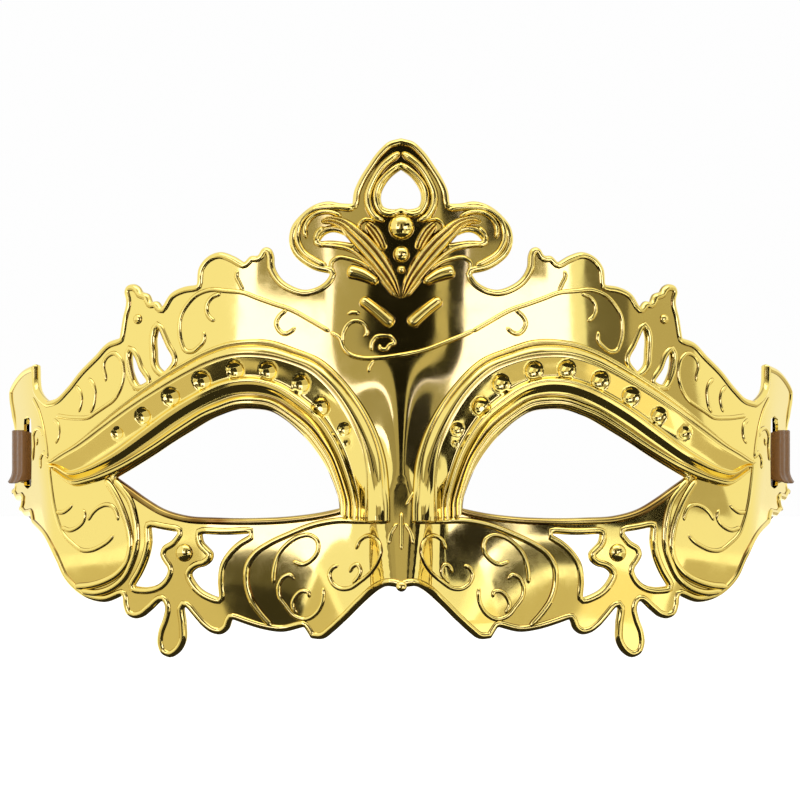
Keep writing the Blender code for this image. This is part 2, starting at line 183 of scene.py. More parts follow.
# Mats on the floor. name, bearings in degrees, nearest and farthest, grey
for name, bearings, (near, far), grey in [
    ("mat_under", (-180, 180), (0.0, 0.2), 0.03),
    ("mat_left_near", (-42, -7.5), (0.2, 0.6), 0.04),
    ("mat_left_far", (-40, -7.5), (0.6, 1.7), 0.10),
    ("mat_middle", (-7.5, 7.5), (0.2, 1.7), 0.02),
    ("mat_right_inner", (7.5, 17), (0.42, 1.7), 0.03),
    ("mat_right_near", (17, 42), (0.2, 0.6), 0.62),
    ("mat_right_far", (17, 40), (0.75, 1.4), 0.08),
    ("mat_right_pendant", (42, 60), (0.36, 0.9), 1.1),
    ("mat_left_side", (-112, -42), (0.2, 1.9), 0.66),
    ("mat_right_side", (65, 150), (0.2, 1.9), 0.62),
]:
    ring = np.concatenate([arc(bearings) * near, arc(bearings)[::-1] * far])
    flag(name, [(x, y, FLOOR_HEIGHT + 0.002) for x, y in ring], grey)

# %% [markdown]
# The room itself is white: a white world, and a floor of matt paper that the mask casts no hard
# shadow on. The paper glows a little, as a sheet lit from below does, so that it stays pale.

# %% World and floor
world = bpy.data.worlds.new("studio")
bpy.context.scene.world = world
world.use_nodes = True
world.node_tree.nodes["Background"].inputs["Color"].default_value = (0.99, 0.99, 0.99, 1)
world.node_tree.nodes["Background"].inputs["Strength"].default_value = 1.0
bpy.context.scene.view_settings.view_transform = "Standard"


paper, _, paper_shader = node_material("pale_paper")
paper_shader.inputs["Base Color"].default_value = (0.93, 0.93, 0.92, 1)
paper_shader.inputs["Roughness"].default_value = 0.9
paper_shader.inputs["Emission Color"].default_value = (1, 1, 1, 1)
paper_shader.inputs["Emission Strength"].default_value = 0.3
floor_mesh = bpy.data.meshes.new("floor")
floor_plan = [(-9, -3), (9, -3), (9, 9), (-9, 9)]
floor_mesh.from_pydata([(*corner, FLOOR_HEIGHT) for corner in floor_plan], [], [(0, 1, 2, 3)])
floor_mesh.materials.append(paper)
placed("floor", floor_mesh)
print("floor at", FLOOR_HEIGHT)

# %% [markdown]
# The face of the mask is one function: depth at a given width and height. It is the form that the
# CAD shell has: an elliptic wrap round the head, a nose ridge and flat temples. Below the bridge
# the ridge is planed to a narrow facet with steeper sides, which the solids leave out. Every piece
# of relief is laid on this function, so it follows the wrap without any fitting by hand.

# %% The face
WALL = 1.4
WRAP_HALF_WIDTH, WRAP_DEPTH = 100, 75
WRAP_NARROWING, NARROWING_SCALE = 5, 16         # the wrap is narrower above the eyes than below
LEAN_ABOVE, LEAN_BELOW, LEAN_START = 0.0009, 0.002, -10
NOSE_TOP, NOSE_DROP, NOSE_HEIGHT = 30, 57, 15
NOSE_POWER, NOSE_OVERRUN = 1.6, 1.15            # how the ridge grows downwards, and where it stops
RIDGE_SCALE, BASE_SCALE, RIDGE_SHARE = 6.5, 16, 0.55
FACET_TOP, FACET_FULL = 1, -12                  # heights between which the facet grows
FACET_HALF_WIDTH, FACET_TAPER, FACET_ROUNDING = 4.0, 0.09, 0.6
FACET_SIDE_SCALE = 3.2
TEMPLE_START, TEMPLE_SLOPE, TEMPLE_BLEND = (84.3, 34.5), 2.75, 3.0


def smooth_step(share):
    """Three share squared less two share cubed: level at 0 and at 1."""
    return share**2 * (3 - 2 * share)


def smooth_maximum(a, b, blend):
    """The larger of a and b, with the corner where they are equal rounded over a band of width blend."""
    overlap = np.clip(1 - np.abs(a - b) / blend, 0, None)
    return np.maximum(a, b) + overlap**2 * blend / 4


def surface_depth(x, z):
    """Ellipse for the wrap, plus a backward lean, minus a nose ridge, blended into the temple planes."""
    x = np.abs(x)
    half_width = WRAP_HALF_WIDTH - WRAP_NARROWING * np.tanh(z / NARROWING_SCALE)
    wrap = WRAP_DEPTH * (1 - np.sqrt(np.clip(1 - (x / half_width) ** 2, 0.0004, None)))
    lean = LEAN_ABOVE * np.clip(z, 0, None) ** 2 + LEAN_BELOW * np.clip(LEAN_START - z, 0, None) ** 2
    fall = np.clip((NOSE_TOP - z) / NOSE_DROP, 0, NOSE_OVERRUN)
    planed = smooth_step(np.clip((FACET_TOP - z) / (FACET_TOP - FACET_FULL), 0, 1))
    past = x - planed * (FACET_HALF_WIDTH - FACET_TAPER * np.clip(FACET_FULL - z, 0, None))
    past = (past + np.sqrt(past**2 + planed * FACET_ROUNDING)) / 2
    ridge_scale = RIDGE_SCALE + planed * (FACET_SIDE_SCALE - RIDGE_SCALE)
    across = (RIDGE_SHARE * np.exp(-((past / ridge_scale) ** 2))
              + (1 - RIDGE_SHARE) * np.exp(-((x / BASE_SCALE) ** 2)))
    temple = TEMPLE_START[1] + TEMPLE_SLOPE * (x - TEMPLE_START[0])
    return smooth_maximum(wrap + lean - NOSE_HEIGHT * fall**NOSE_POWER * across, temple, TEMPLE_BLEND)


print("depth at the temples", surface_depth(np.array([92.0]), np.array([0.0])).round(1))

# %% [markdown]
# Outlines and scrolls are drawn as a carver would mark them out: a few points, joined by a curve that
# passes through all of them, with a sharp corner only where one is asked for.

# %% Lines and areas in the elevation
def cubic(t, start, leave, end, arrive):
    """Cubic from start to end as t goes from 0 to 1, with slope leave at first and arrive at last."""
    return ((2 * t**3 - 3 * t**2 + 1) * start + (t**3 - 2 * t**2 + t) * leave
            + (3 * t**2 - 2 * t**3) * end + (t**3 - t**2) * arrive)


CORNER = True


def smooth_line(points, closed=False, step=0.4):
    """Cubic through the points: each span blends its ends' positions and slopes, and a CORNER has none."""
    places = np.array([point[:2] for point in points], float)
    sharp = np.array([len(point) > 2 for point in points])
    if closed:
        places = np.vstack([places, places[:1]])
        sharp = np.append(sharp, sharp[0])
    chord = np.diff(places, axis=0)
    length = np.linalg.norm(chord, axis=1)
    unit = chord / length[:, None]
    before, after = np.vstack([unit[-1:], unit]), np.vstack([unit, unit[:1]])
    first, second = np.append(length[-1], length), np.append(length, length[0])
    slope = (before * second[:, None] + after * first[:, None]) / (first + second)[:, None]
    if not closed:
        sharp[[0, -1]] = True
    leave = np.where(sharp[:-1, None], unit, slope[:-1])
    arrive = np.where(sharp[1:, None], unit, slope[1:])
    line = []
    for i, span in enumerate(length):
        t = np.linspace(0, 1, max(1, round(span / step)), endpoint=False)[:, None]
        line.append(cubic(t, places[i], span * leave[i], places[i + 1], span * arrive[i]))
    if not closed:
        line.append(places[-1:])
    return np.concatenate(line)


def is_inside(points, loop):
    """Even-odd rule: a point is inside if an odd number of the loop's edges lie to its right."""
    start, end = loop, np.roll(loop, -1, axis=0)
    x, z = points[:, :1], points[:, 1:]
    crosses = (start[:, 1] > z) != (end[:, 1] > z)
    rise = np.where(end[:, 1] == start[:, 1], 1e-9, end[:, 1] - start[:, 1])
    where = start[:, 0] + (z - start[:, 1]) * (end[:, 0] - start[:, 0]) / rise
    return (crosses & (x < where)).sum(axis=1) % 2 == 1


def distance_to(points, line):
    """Distance from each point to the nearest piece of a line."""
    start, along = line[:-1], np.diff(line, axis=0)
    from_start = points[:, None] - start
    share = (from_start * along).sum(2) / np.maximum((along**2).sum(1), 1e-12)
    nearest = from_start - np.clip(share, 0, 1)[..., None] * along
    return np.linalg.norm(nearest, axis=2).min(axis=1)


UNIT_SQUARE = np.array([(0, 0), (1, 0), (1, 1), (0, 1)])
print("middle of a square is inside:", is_inside(np.array([(0.5, 0.5)]), UNIT_SQUARE))


# %% Places and directions on the face
def face_frame(points, nudge=0.05):
    """Positions on the face in mm, and unit normals away from the wearer, from the slopes of the depth."""
    x, z = points[:, 0], points[:, 1]
    slope_x = (surface_depth(x + nudge, z) - surface_depth(x - nudge, z)) / (2 * nudge)
    slope_z = (surface_depth(x, z + nudge) - surface_depth(x, z - nudge)) / (2 * nudge)
    normal = np.column_stack([slope_x, -np.ones_like(x), slope_z])
    return (np.column_stack([x, surface_depth(x, z), z]),
            normal / np.linalg.norm(normal, axis=1, keepdims=True))


print("the bridge of the nose faces", face_frame(np.zeros((1, 2)))[1].round(2))

# %% [markdown]
# Most relief on the mask is either a ridge along a line or a skin over a grid. Two small helpers
# turn arrays of rings or rows into closed solids and check which way they face, so that the
# mirrored half isn't inside out.

# %% Solids from arrays
def tube(rings, closed=False):
    """Quads between neighbouring rings of a (rings, points, 3) array, with a cap at each open end."""
    count, size = rings.shape[:2]
    here = np.arange(count * size).reshape(count, size)
    there = np.roll(here, -1, axis=0) if closed else here[1:]
    here = here if closed else here[:-1]
    quads = np.stack([here, np.roll(here, -1, 1), np.roll(there, -1, 1), there], -1).reshape(-1, 4)
    caps = [] if closed else [list(range(size))[::-1], list(range((count - 1) * size, count * size))]
    return rings.reshape(-1, 3), [*quads.tolist(), *caps]


def outward(points, faces):
    """The same faces, turned round if the volume that they enclose comes out negative."""
    corners = [[*face[:3], face[3] if len(face) == 4 else face[0]] for face in faces]
    a, b, c, d = (points - points.mean(axis=0))[np.transpose(corners)]
    volume = (np.cross(b, c) * a).sum() + (np.cross(c, d) * a).sum()
    return [face[::-1] for face in faces] if volume < 0 else faces


def solid(name, parts, material, body="mask"):
    """One smooth-shaded object of closed parts, each (points in mm, faces, painted shade share of each point, 1
    for full gold and 0 for deep shade).
    """
    places, faces, shares = [], [], []
    first = 0
    for points, part_faces, share in parts:
        faces += [[first + i for i in face] for face in outward(points, part_faces)]
        places.append(points)
        shares.append(share)
        first += len(points)
    mesh = bpy.data.meshes.new(name)
    mesh.from_pydata((np.concatenate(places) * MM).tolist(), [], faces)
    # The height attribute carries the painted shade share, not a height.
    mesh.attributes.new("height", "FLOAT", "POINT").data.foreach_set("value", np.concatenate(shares))
    mesh.shade_smooth()
    mesh.materials.append(material)
    obj = placed(name, mesh)
    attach(obj, body)
    print(name, len(faces), "faces")


def mirrored(part):
    """The part at the other temple."""
    points, faces, share = part
    return points * (-1, 1, 1), faces, share


def both(parts):
    """The parts and their mirror images."""
    return [*parts, *[mirrored(part) for part in parts]]


print("mirror image of a point:", mirrored((np.ones((1, 3)), [], []))[0])

# %% [markdown]
# A ridge is a profile carried along a line on the face, as a modeller rolls out a thin worm of clay
# and presses it down. Its foot goes into the wall, so that no gap shows under it. A plain profile is
# one rounded back, and the fluted one has three crests for the leaves of the crest.

# %% Ridges and studs
def evenly(line, closed, step):
    """The elevation line read off at equal steps of true length over the face."""
    if closed:
        line = np.vstack([line, line[:1]])
    x, z = line[:, 0], line[:, 1]
    run = np.linalg.norm(np.diff(np.column_stack([x, surface_depth(x, z), z]), axis=0), axis=1)
    length = np.concatenate([[0], np.cumsum(run)])
    count = max(4, round(length[-1] / step))
    at = np.linspace(0, length[-1], count + 1)[: count if closed else None]
    return np.column_stack([np.interp(at, length, x), np.interp(at, length, z)]), at, length[-1]


def along_line(points, closed=False, reach=1):
    """Unit direction at each point, from the points reach places before and after it."""
    if closed:
        run = np.roll(points, -reach, 0) - np.roll(points, reach, 0)
    else:
        place = np.arange(len(points))
        run = points[np.minimum(place + reach, len(points) - 1)] - points[np.maximum(place - reach, 0)]
    return run / np.linalg.norm(run, axis=1, keepdims=True)


FOOT = 0.6                          # how deep a ridge is rooted in the wall
RIDGE_STEP, RIDGE_LIFT = 0.35, -0.06
KEEL = np.array([0.7, 0.0, -0.7])   # places across a ridge's foot
POLE = 0.06                         # angle at which a dome's first ring stands off its top
across = np.linspace(-1, 1, 13)
rise = (1 - across**2) ** 0.75
# The third array is painted shade: deep brown down the ridge's sides towards its foot, full gold on its back.
ROUND = (across, rise, np.clip((rise - 0.38) / 0.35, 0, 1))
across = np.linspace(-1, 1, 31)     # three crests side by side on one rounded leaf
rise, flute = (1 - across**2) ** 0.6, np.cos(3 * np.pi * across)
# Its third array paints shade in the grooves between the three crests and at the leaf's edges.
FLUTED = (across, rise * (0.83 + 0.17 * flute), np.clip((rise - 0.3) / 0.3, 0, 1) * (0.5 + 0.5 * flute))


def ridge(line, half_width=0.75, height=0.55, profile=ROUND, taper=1.0):
    """A profile carried along a line on the face, rounded at both ends; half widths are spread along it."""
    across, rise, shade = profile
    spots, at, total = evenly(smooth_line(line), False, RIDGE_STEP)
    centre, normal = face_frame(spots)
    widths = np.atleast_1d(half_width)
    half_width = np.interp(at / total, np.linspace(0, 1, len(widths)), widths)
    forward = along_line(centre)
    side = np.cross(normal, forward)
    side /= np.linalg.norm(side, axis=1, keepdims=True)
    end = np.clip(np.minimum(at, total - at) / (half_width * taper * 2), 0, 1)
    size = np.sqrt(1 - (1 - end) ** 2).clip(0.04, 1)
    reach = side * (half_width * size)[:, None]
    top = (centre[:, None] + reach[:, None] * across[:, None]
           + normal[:, None] * (rise[:, None] * height * size[:, None, None] + RIDGE_LIFT))
    bottom = centre[:, None] + reach[:, None] * KEEL[:, None] - normal[:, None] * FOOT
    points, faces = tube(np.concatenate([top, bottom], axis=1))
    # The foot's points get full painted shade; the rest take the profile's painted shade share.
    share = np.tile(np.concatenate([shade, np.zeros(len(KEEL))]), (len(spots), 1)).ravel()
    return points, faces, share


def dome(x, z, radius, height, ring_count=7, sides=24):
    """A round stud: height falls off as the root of one minus the squared distance from its middle."""
    centre, normal = face_frame(np.array([(x, z)]))
    normal = normal[0]
    right = np.cross(normal, (0, 0, 1.0))
    right /= np.linalg.norm(right)
    up = np.cross(right, normal)
    slope_at = np.linspace(POLE, np.pi / 2, ring_count)
    spread_at, rise_at = np.append(np.sin(slope_at), 0.9), np.append(np.cos(slope_at) * height, -FOOT)
    turn = np.linspace(0, 2 * np.pi, sides, endpoint=False)
    circle = np.cos(turn)[:, None] * right + np.sin(turn)[:, None] * up
    rings = centre[0] + circle * (spread_at * radius)[:, None, None] + normal * rise_at[:, None, None]
    points, faces = tube(rings)
    # Painted shade: the share falls with the slope, so the stud is painted deep towards its foot and full gold
    # on top.
    return points, faces, np.repeat(np.append(np.cos(slope_at), 0), sides)


print("ridge profiles have", len(ROUND[0]), "and", len(FLUTED[0]), "points")

# %% [markdown]
# Vacuum plating is a film of metal under clear lacquer on polished plastic. It is a mirror, and the
# lacquer ripples like orange peel. Shade is painted into its colour: a deep brown in the grooves, at
# the feet of ridges and studs and round the rims, with the crests left full gold. Two node groups hold
# the ripple and the tone with its painted shade, because the twist wire of the ribbons is plated in the same
# way.

# %% Node helpers and the shared effects
def maths(tree, operation, *values):
    """The output of a Math node."""
    return node(tree, "Math", dict(enumerate(values)), operation=operation).outputs[0]


def mixed(tree, share, low, high):
    """A colour between low and high."""
    return node(tree, "Mix", {"Factor": share, "A": low, "B": high}, data_type="RGBA").outputs["Result"]


def effect(name, inputs, outputs):
    """An empty shader node group; inputs are (name, kind, value) and outputs (name, kind)."""
    tree = bpy.data.node_groups.new(name, "ShaderNodeTree")
    for label, kind, value in inputs:
        socket = tree.interface.new_socket(name=label, in_out="INPUT", socket_type="NodeSocket" + kind)
        socket.default_value = value
    for label, kind in outputs:
        tree.interface.new_socket(name=label, in_out="OUTPUT", socket_type="NodeSocket" + kind)
    return tree, tree.nodes.new("NodeGroupInput").outputs, tree.nodes.new("NodeGroupOutput").inputs


def use(tree, group, **inputs):
    """A copy of a node group in a material, with its own values."""
    made = tree.nodes.new("ShaderNodeGroup")
    made.node_tree = group
    for key, value in inputs.items():
        label = key.replace("_", " ").capitalize()
        if isinstance(value, bpy.types.NodeSocket):
            tree.links.new(value, made.inputs[label])
        else:
            made.inputs[label].default_value = value
    return made


ripple, given, result = effect(
    "lacquer_ripple",
    [("Scale", "Float", 260.0), ("Depth", "Float", 0.00002), ("Strength", "Float", 0.2),
     ("Sag scale", "Float", 55.0), ("Sag depth", "Float", 0.0003)],
    [("Normal", "Vector")])
spot = node(ripple, "TexCoord").outputs["Object"]
peel = node(ripple, "TexNoise", {"Vector": spot, "Scale": given["Scale"], "Detail": 1.0})
sag = node(ripple, "TexNoise", {"Vector": spot, "Scale": given["Sag scale"], "Detail": 0.0})
waves = node(ripple, "Bump", {"Height": sag.outputs["Fac"], "Distance": given["Sag depth"]})
bump = node(ripple, "Bump", {"Height": peel.outputs["Fac"], "Distance": given["Depth"],
                             "Strength": given["Strength"], "Normal": waves.outputs["Normal"]})
ripple.links.new(bump.outputs["Normal"], result["Normal"])

tone, given, result = effect(
    "plating_tone_painted_shade",
    [("Bright", "Color", (1, 1, 1, 1)), ("Deep", "Color", (0, 0, 0, 1)), ("Height", "Float", 1.0),
     ("Patch scale", "Float", 40.0), ("Polish", "Float", 0.08), ("Haze", "Float", 0.2)],
    [("Colour", "Color"), ("Roughness", "Float")])
spot = node(tone, "TexCoord").outputs["Object"]
patches = node(tone, "TexNoise", {"Vector": spot, "Scale": given["Patch scale"], "Detail": 4.0})
# Painted shade: height is 0 where shade is painted deep brown (grooves, feet of ridges, rims) and 1 for full
# gold; the noise patches vary it at random.
painted_shade_and_patches = maths(tone, "ADD", given["Height"], patches.outputs["Fac"])
share = node(tone, "MapRange", {"Value": painted_shade_and_patches, "From Min": 0.5, "From Max": 1.0}).outputs["Result"]
tone.links.new(mixed(tone, share, given["Deep"], given["Bright"]), result["Colour"])
smear = node(tone, "TexNoise", {"Vector": spot, "Scale": 150.0, "Detail": 5.0, "Roughness": 0.6})
dull = node(tone, "MapRange", {"Value": smear.outputs["Fac"], "From Min": 0.45, "From Max": 0.75,
                               "To Min": given["Polish"], "To Max": given["Haze"]})
tone.links.new(dull.outputs["Result"], result["Roughness"])


def wire(tree, source, shader, **sockets):
    """Links outputs of a group to sockets of the shader, given as output=socket."""
    for output, socket in sockets.items():
        tree.links.new(source.outputs[output], shader.inputs[socket])


def plated(name, bright, deep, **wear):
    """Plated plastic: a metallic mirror with the tone, haze and ripple of the shared effects; deep is the
    colour of the painted shade.
    """
    material, tree, shader = node_material(name)
    # The height attribute is the painted shade share: 0 takes the deep painted shade colour, 1 the bright gold.
    height = node(tree, "Attribute", attribute_name="height").outputs["Fac"]
    colour = use(tree, tone, bright=(*bright, 1), deep=(*deep, 1), height=height, **wear)
    wire(tree, colour, shader, Colour="Base Color", Roughness="Roughness")
    wire(tree, use(tree, ripple), shader, Normal="Normal")
    shader.inputs["Metallic"].default_value = 1.0
    return material


# The second colour is the deep brown painted as shade in grooves, at the feet of ridges and on the rims.
gold = plated("gold_plating", (0.95, 0.765, 0.22), (0.15, 0.055, 0.005), polish=0.06, haze=0.13)
print("gold:", [group.name for group in bpy.data.node_groups])

# %% [markdown]
# The shell is one thin moulding full of windows. Its outline and windows are drawn as flat curves,
# meshed in the plane where the wrap is unrolled, and then laid on the face. The front and the back
# skins get their normals from the face's own slopes, since a mirror finish shows any faceting.

# %% Outlines of the shell, half at +X
OUTER_EDGE = [
    (0.0, 75.0), (3.0, 74.1), (4.9, 72.4), (7.8, 68.5), (9.8, 65.2), (10.9, 62.5), (11.2, 59.9, CORNER),
    (13.7, 60.0), (16.7, 60.5), (19.7, 59.8), (23.1, 57.4), (25.3, 54.5), (25.8, 51.3), (24.9, 48.4),
    (22.6, 46.1), (20.0, 44.6), (16.3, 43.7, CORNER), (17.4, 42.1), (19.4, 40.8), (22.0, 40.2),
    (24.9, 41.0), (27.5, 42.8), (29.0, 45.4), (29.3, 48.3), (29.9, 49.6), (31.2, 50.1), (32.2, 49.5),
    (32.9, 48.2), (34.6, 48.1), (36.1, 46.6, CORNER), (38.8, 48.2), (41.8, 49.1), (44.9, 47.9),
    (46.7, 45.6), (47.2, 41.6, CORNER), (50.2, 41.2), (53.2, 39.8), (55.4, 36.5, CORNER), (56.7, 38.0),
    (57.9, 37.8, CORNER), (58.8, 39.7), (60.3, 40.2, CORNER), (61.0, 41.4), (62.3, 42.1), (63.8, 41.7),
    (64.4, 40.4), (64.0, 38.0), (64.8, 34.1), (65.5, 29.6, CORNER), (68.1, 28.8), (71.5, 25.6),
    (75.1, 22.2), (78.6, 18.1), (81.2, 15.8), (83.5, 15.2, CORNER), (84.8, 16.2), (85.9, 17.5),
    (86.9, 24.0, CORNER), (89.9, 22.9), (92.5, 20.6), (93.9, 18.3), (94.0, 15.4), (93.4, 12.3),
    (92.8, 9.0, CORNER), (92.7, -5.0, CORNER), (93.4, -6.6, CORNER), (92.0, -8.6, CORNER),
    (90.3, -8.1, CORNER), (91.1, -10.8, CORNER), (89.5, -12.3, CORNER), (87.7, -11.9, CORNER),
    (87.2, -14.2, CORNER),
    (83.9, -16.9), (80.9, -22.2), (78.7, -26.6), (76.4, -29.1), (73.0, -31.2), (68.9, -31.9),
    (64.6, -30.3, CORNER), (64.4, -32.7), (63.6, -34.7), (61.8, -35.6), (59.9, -35.2), (57.8, -33.6),
    (55.0, -31.6), (54.6, -32.8), (55.0, -35.1), (56.2, -38.5), (56.4, -41.4), (55.5, -43.6),
    (53.4, -44.5), (51.2, -43.3), (49.8, -41.0), (49.6, -36.8), (49.9, -32.7), (47.8, -35.0),
    (45.8, -37.2), (43.6, -38.7), (41.4, -39.0), (39.7, -37.8), (38.8, -35.5, CORNER), (35.7, -36.6),
    (31.5, -37.8), (27.3, -38.3), (22.3, -37.1, CORNER), (20.7, -39.7, CORNER), (18.1, -39.8),
    (15.5, -37.9), (12.5, -35.0), (9.2, -31.6), (6.1, -28.5), (3.7, -27.3), (1.2, -27.3), (0.0, -28.1),
]
HEART_EDGE = [
    (0.0, 58.9), (1.6, 58.6), (2.7, 58.7), (3.9, 59.1), (4.5, 60.3), (4.5, 62.0), (3.6, 64.1),
    (2.1, 66.0), (0.0, 67.6),
]
EYE = [
    (66.1, -2.8, CORNER), (62.2, -0.6), (57.2, 2.4), (52.7, 5.3), (48.3, 7.9), (42.7, 11.0),
    (36.4, 12.9), (30.4, 12.5), (24.7, 8.9), (19.9, 3.7), (16.2, -2.5), (14.4, -8.0),
    (14.2, -9.8, CORNER), (18.9, -10.8), (25.8, -11.7), (34.8, -12.1), (42.7, -12.0), (49.3, -11.6),
    (54.7, -10.1), (59.1, -7.6), (63.0, -4.9),
]
CREST_WINDOW = [
    (18.6, 51.3, CORNER), (17.6, 52.5), (16.2, 53.2), (14.6, 53.1), (13.0, 52.4), (10.7, 50.8, CORNER),
    (13.3, 51.2), (16.2, 51.5),
]
FINIAL_SLIT = [
    (62.8, 26.2, CORNER), (61.9, 24.8), (60.8, 22.0), (59.0, 19.4, CORNER), (60.7, 18.7), (62.1, 20.8),
    (62.8, 23.9),
]
BROW_SLIT = [
    (56.3, 31.6, CORNER), (55.5, 29.7), (54.4, 27.2), (53.0, 24.2), (54.8, 21.6, CORNER), (56.1, 22.8),
    (56.7, 26.6), (56.8, 29.6),
]
OUTER_CHEEK_GAP = [
    (57.9, -14.4, CORNER), (54.9, -15.0), (51.5, -15.5, CORNER), (53.0, -17.3), (55.1, -18.7),
    (55.7, -20.8), (54.9, -22.5), (53.9, -24.1), (54.5, -25.8), (56.1, -27.4), (58.4, -28.1),
    (61.8, -28.0, CORNER), (59.8, -24.7), (58.3, -21.0), (57.7, -17.8),
]
INNER_CHEEK_GAP = [
    (45.8, -15.9, CORNER), (40.4, -16.1), (34.7, -15.8, CORNER), (37.4, -17.4), (39.9, -19.8),
    (41.6, -22.6), (42.2, -26.4), (41.9, -30.4, CORNER), (43.8, -29.7), (45.8, -28.6), (47.5, -26.7),
    (48.2, -25.0), (47.1, -23.9), (44.9, -23.2), (43.4, -21.8), (43.2, -20.2), (44.3, -18.9),
    (45.5, -17.6),
]
STRAP_SLOT = [
    (89.7, 10.5, CORNER), (88.8, 11.2), (87.9, 10.5, CORNER), (87.7, 3.0), (87.8, -4.5, CORNER),
    (88.7, -5.2), (89.7, -4.5, CORNER), (89.7, 3.0),
]
HOLES = [EYE, CREST_WINDOW, FINIAL_SLIT, BROW_SLIT, OUTER_CHEEK_GAP, INNER_CHEEK_GAP, STRAP_SLOT]
print(len(OUTER_EDGE), "points on the outer edge,", len(HOLES), "windows in each half")

# %% Flat pattern
SKIN_STEP, EDGE_STEP = 1.0, 0.8     # spacing of the points over the face and along the edges
SECTION_HEIGHT, SECTION_POINTS = -10.0, 2001
EDGE_INSET = 0.5                    # the rolled rim covers this much of the flat pattern's edge

section_widths = np.linspace(0, 100, SECTION_POINTS)
section_depths = surface_depth(section_widths, np.full(SECTION_POINTS, SECTION_HEIGHT))
section_lengths = np.concatenate([[0], np.cumsum(np.hypot(np.diff(section_widths), np.diff(section_depths)))])


def unrolled(points):
    """Elevation points, with the width replaced by the length along the wrap's section."""
    return np.column_stack([np.interp(points[:, 0], section_widths, section_lengths), points[:, 1]])


def rolled_back(points):
    """The reverse of unrolled."""
    return np.column_stack([np.interp(points[:, 0], section_lengths, section_widths), points[:, 1]])


def inward(loop, keep_axis=False):
    """A closed unrolled loop moved EDGE_INSET into the material, which lies on its left."""
    run = np.roll(loop, -1, 0) - np.roll(loop, 1, 0)
    run /= np.linalg.norm(run, axis=1, keepdims=True)
    moved = loop + np.column_stack([-run[:, 1], run[:, 0]]) * EDGE_INSET
    if keep_axis:
        moved[loop[:, 0] < 1e-6, 0] = 0.0
    return moved


def signed_area(loop):
    """Half the sum of the cross products of neighbouring points: positive when anticlockwise."""
    after = np.roll(loop, -1, 0)
    return (loop[:, 0] * after[:, 1] - after[:, 0] * loop[:, 1]).sum() / 2


def on_sheet(points, loops):
    """Inside the outer loop and outside every window."""
    return is_inside(points, loops[0]) & ~np.any([is_inside(points, loop) for loop in loops[1:]], axis=0)


def flat_pattern():
    """Unrolled half pattern: points inside each edge, a triangular lattice, and their triangulation."""
    outer = smooth_line(OUTER_EDGE, step=EDGE_STEP)
    heart = smooth_line(HEART_EDGE, step=EDGE_STEP)
    low = np.linspace(outer[-1], heart[0], 88)[1:-1]        # the centre line, below the heart and above it
    top = np.linspace(heart[-1], outer[0], 9)[1:-1]
    half = unrolled(np.concatenate([outer, low, heart, top]))
    half = half if signed_area(half) > 0 else half[::-1]
    loops = [inward(half, keep_axis=True)]
    for hole in HOLES:
        loop = unrolled(smooth_line(hole, True, EDGE_STEP))
        loops.append(inward(loop if signed_area(loop) < 0 else loop[::-1]))
    rows = np.arange(loops[0][:, 1].min(), loops[0][:, 1].max(), SKIN_STEP * 0.87)
    columns = np.arange(SKIN_STEP / 2, loops[0][:, 0].max(), SKIN_STEP)
    shift = (np.arange(len(rows)) % 2 * SKIN_STEP / 2)[:, None]
    lattice = np.stack(np.broadcast_arrays(columns + shift, rows[:, None]), -1).reshape(-1, 2)
    lattice = lattice[on_sheet(lattice, loops)]
    for loop in loops:
        lattice = lattice[distance_to(lattice, np.vstack([loop, loop[:1]])) > SKIN_STEP * 0.5]
    edges, first = [], 0
    for loop in loops:
        here = np.arange(len(loop))
        edges += (np.column_stack([here, (here + 1) % len(loop)]) + first).tolist()
        first += len(loop)
    result = delaunay_2d_cdt([Vector(p) for p in np.concatenate([*loops, lattice])], edges, [], 1, 1e-4)
    points = np.array([tuple(p) for p in result[0]])
    triangles = np.array(result[2])
    return rolled_back(points), triangles[on_sheet(points[triangles].mean(axis=1), loops)]


print("flat pattern:", len(flat_pattern()[1]), "triangles in each half")

# %% Shell with a hollow behind the brow band
BAND_LINE = [
    (82.8, 1.0, CORNER), (76.2, 5.0), (67.8, 12.2), (59.8, 18.1), (51.3, 23.4), (42.5, 27.2),
    (33.6, 28.7), (24.8, 27.9), (15.8, 23.7), (10.0, 17.6), (5.2, 9.6), (3.4, 0.2), (2.8, -12.6, CORNER),
]
band_edge = np.vstack([
    [(14.1, -12.6)], smooth_line(BAND_LINE[::-1], step=1.5),
    [(81.1, -1.9), (76.3, -5.1), (71.4, -4.3), (67.0, -2.9), (66.1, -2.8)],
])
band_area = np.vstack([band_edge, [(40.0, -6.0), (16.0, -8.5)]])
BAND_HOLLOW, BAND_FADE = 1.1, 3.0


def hollow(points):
    """How far the back is scooped out behind the brow band, fading in over a few mm inside its edge."""
    points = np.abs(points * (1, 0)) + points * (0, 1)
    share = np.clip(distance_to(points, band_edge) / BAND_FADE, 0, 1) * is_inside(points, band_area)
    return BAND_HOLLOW * smooth_step(share)


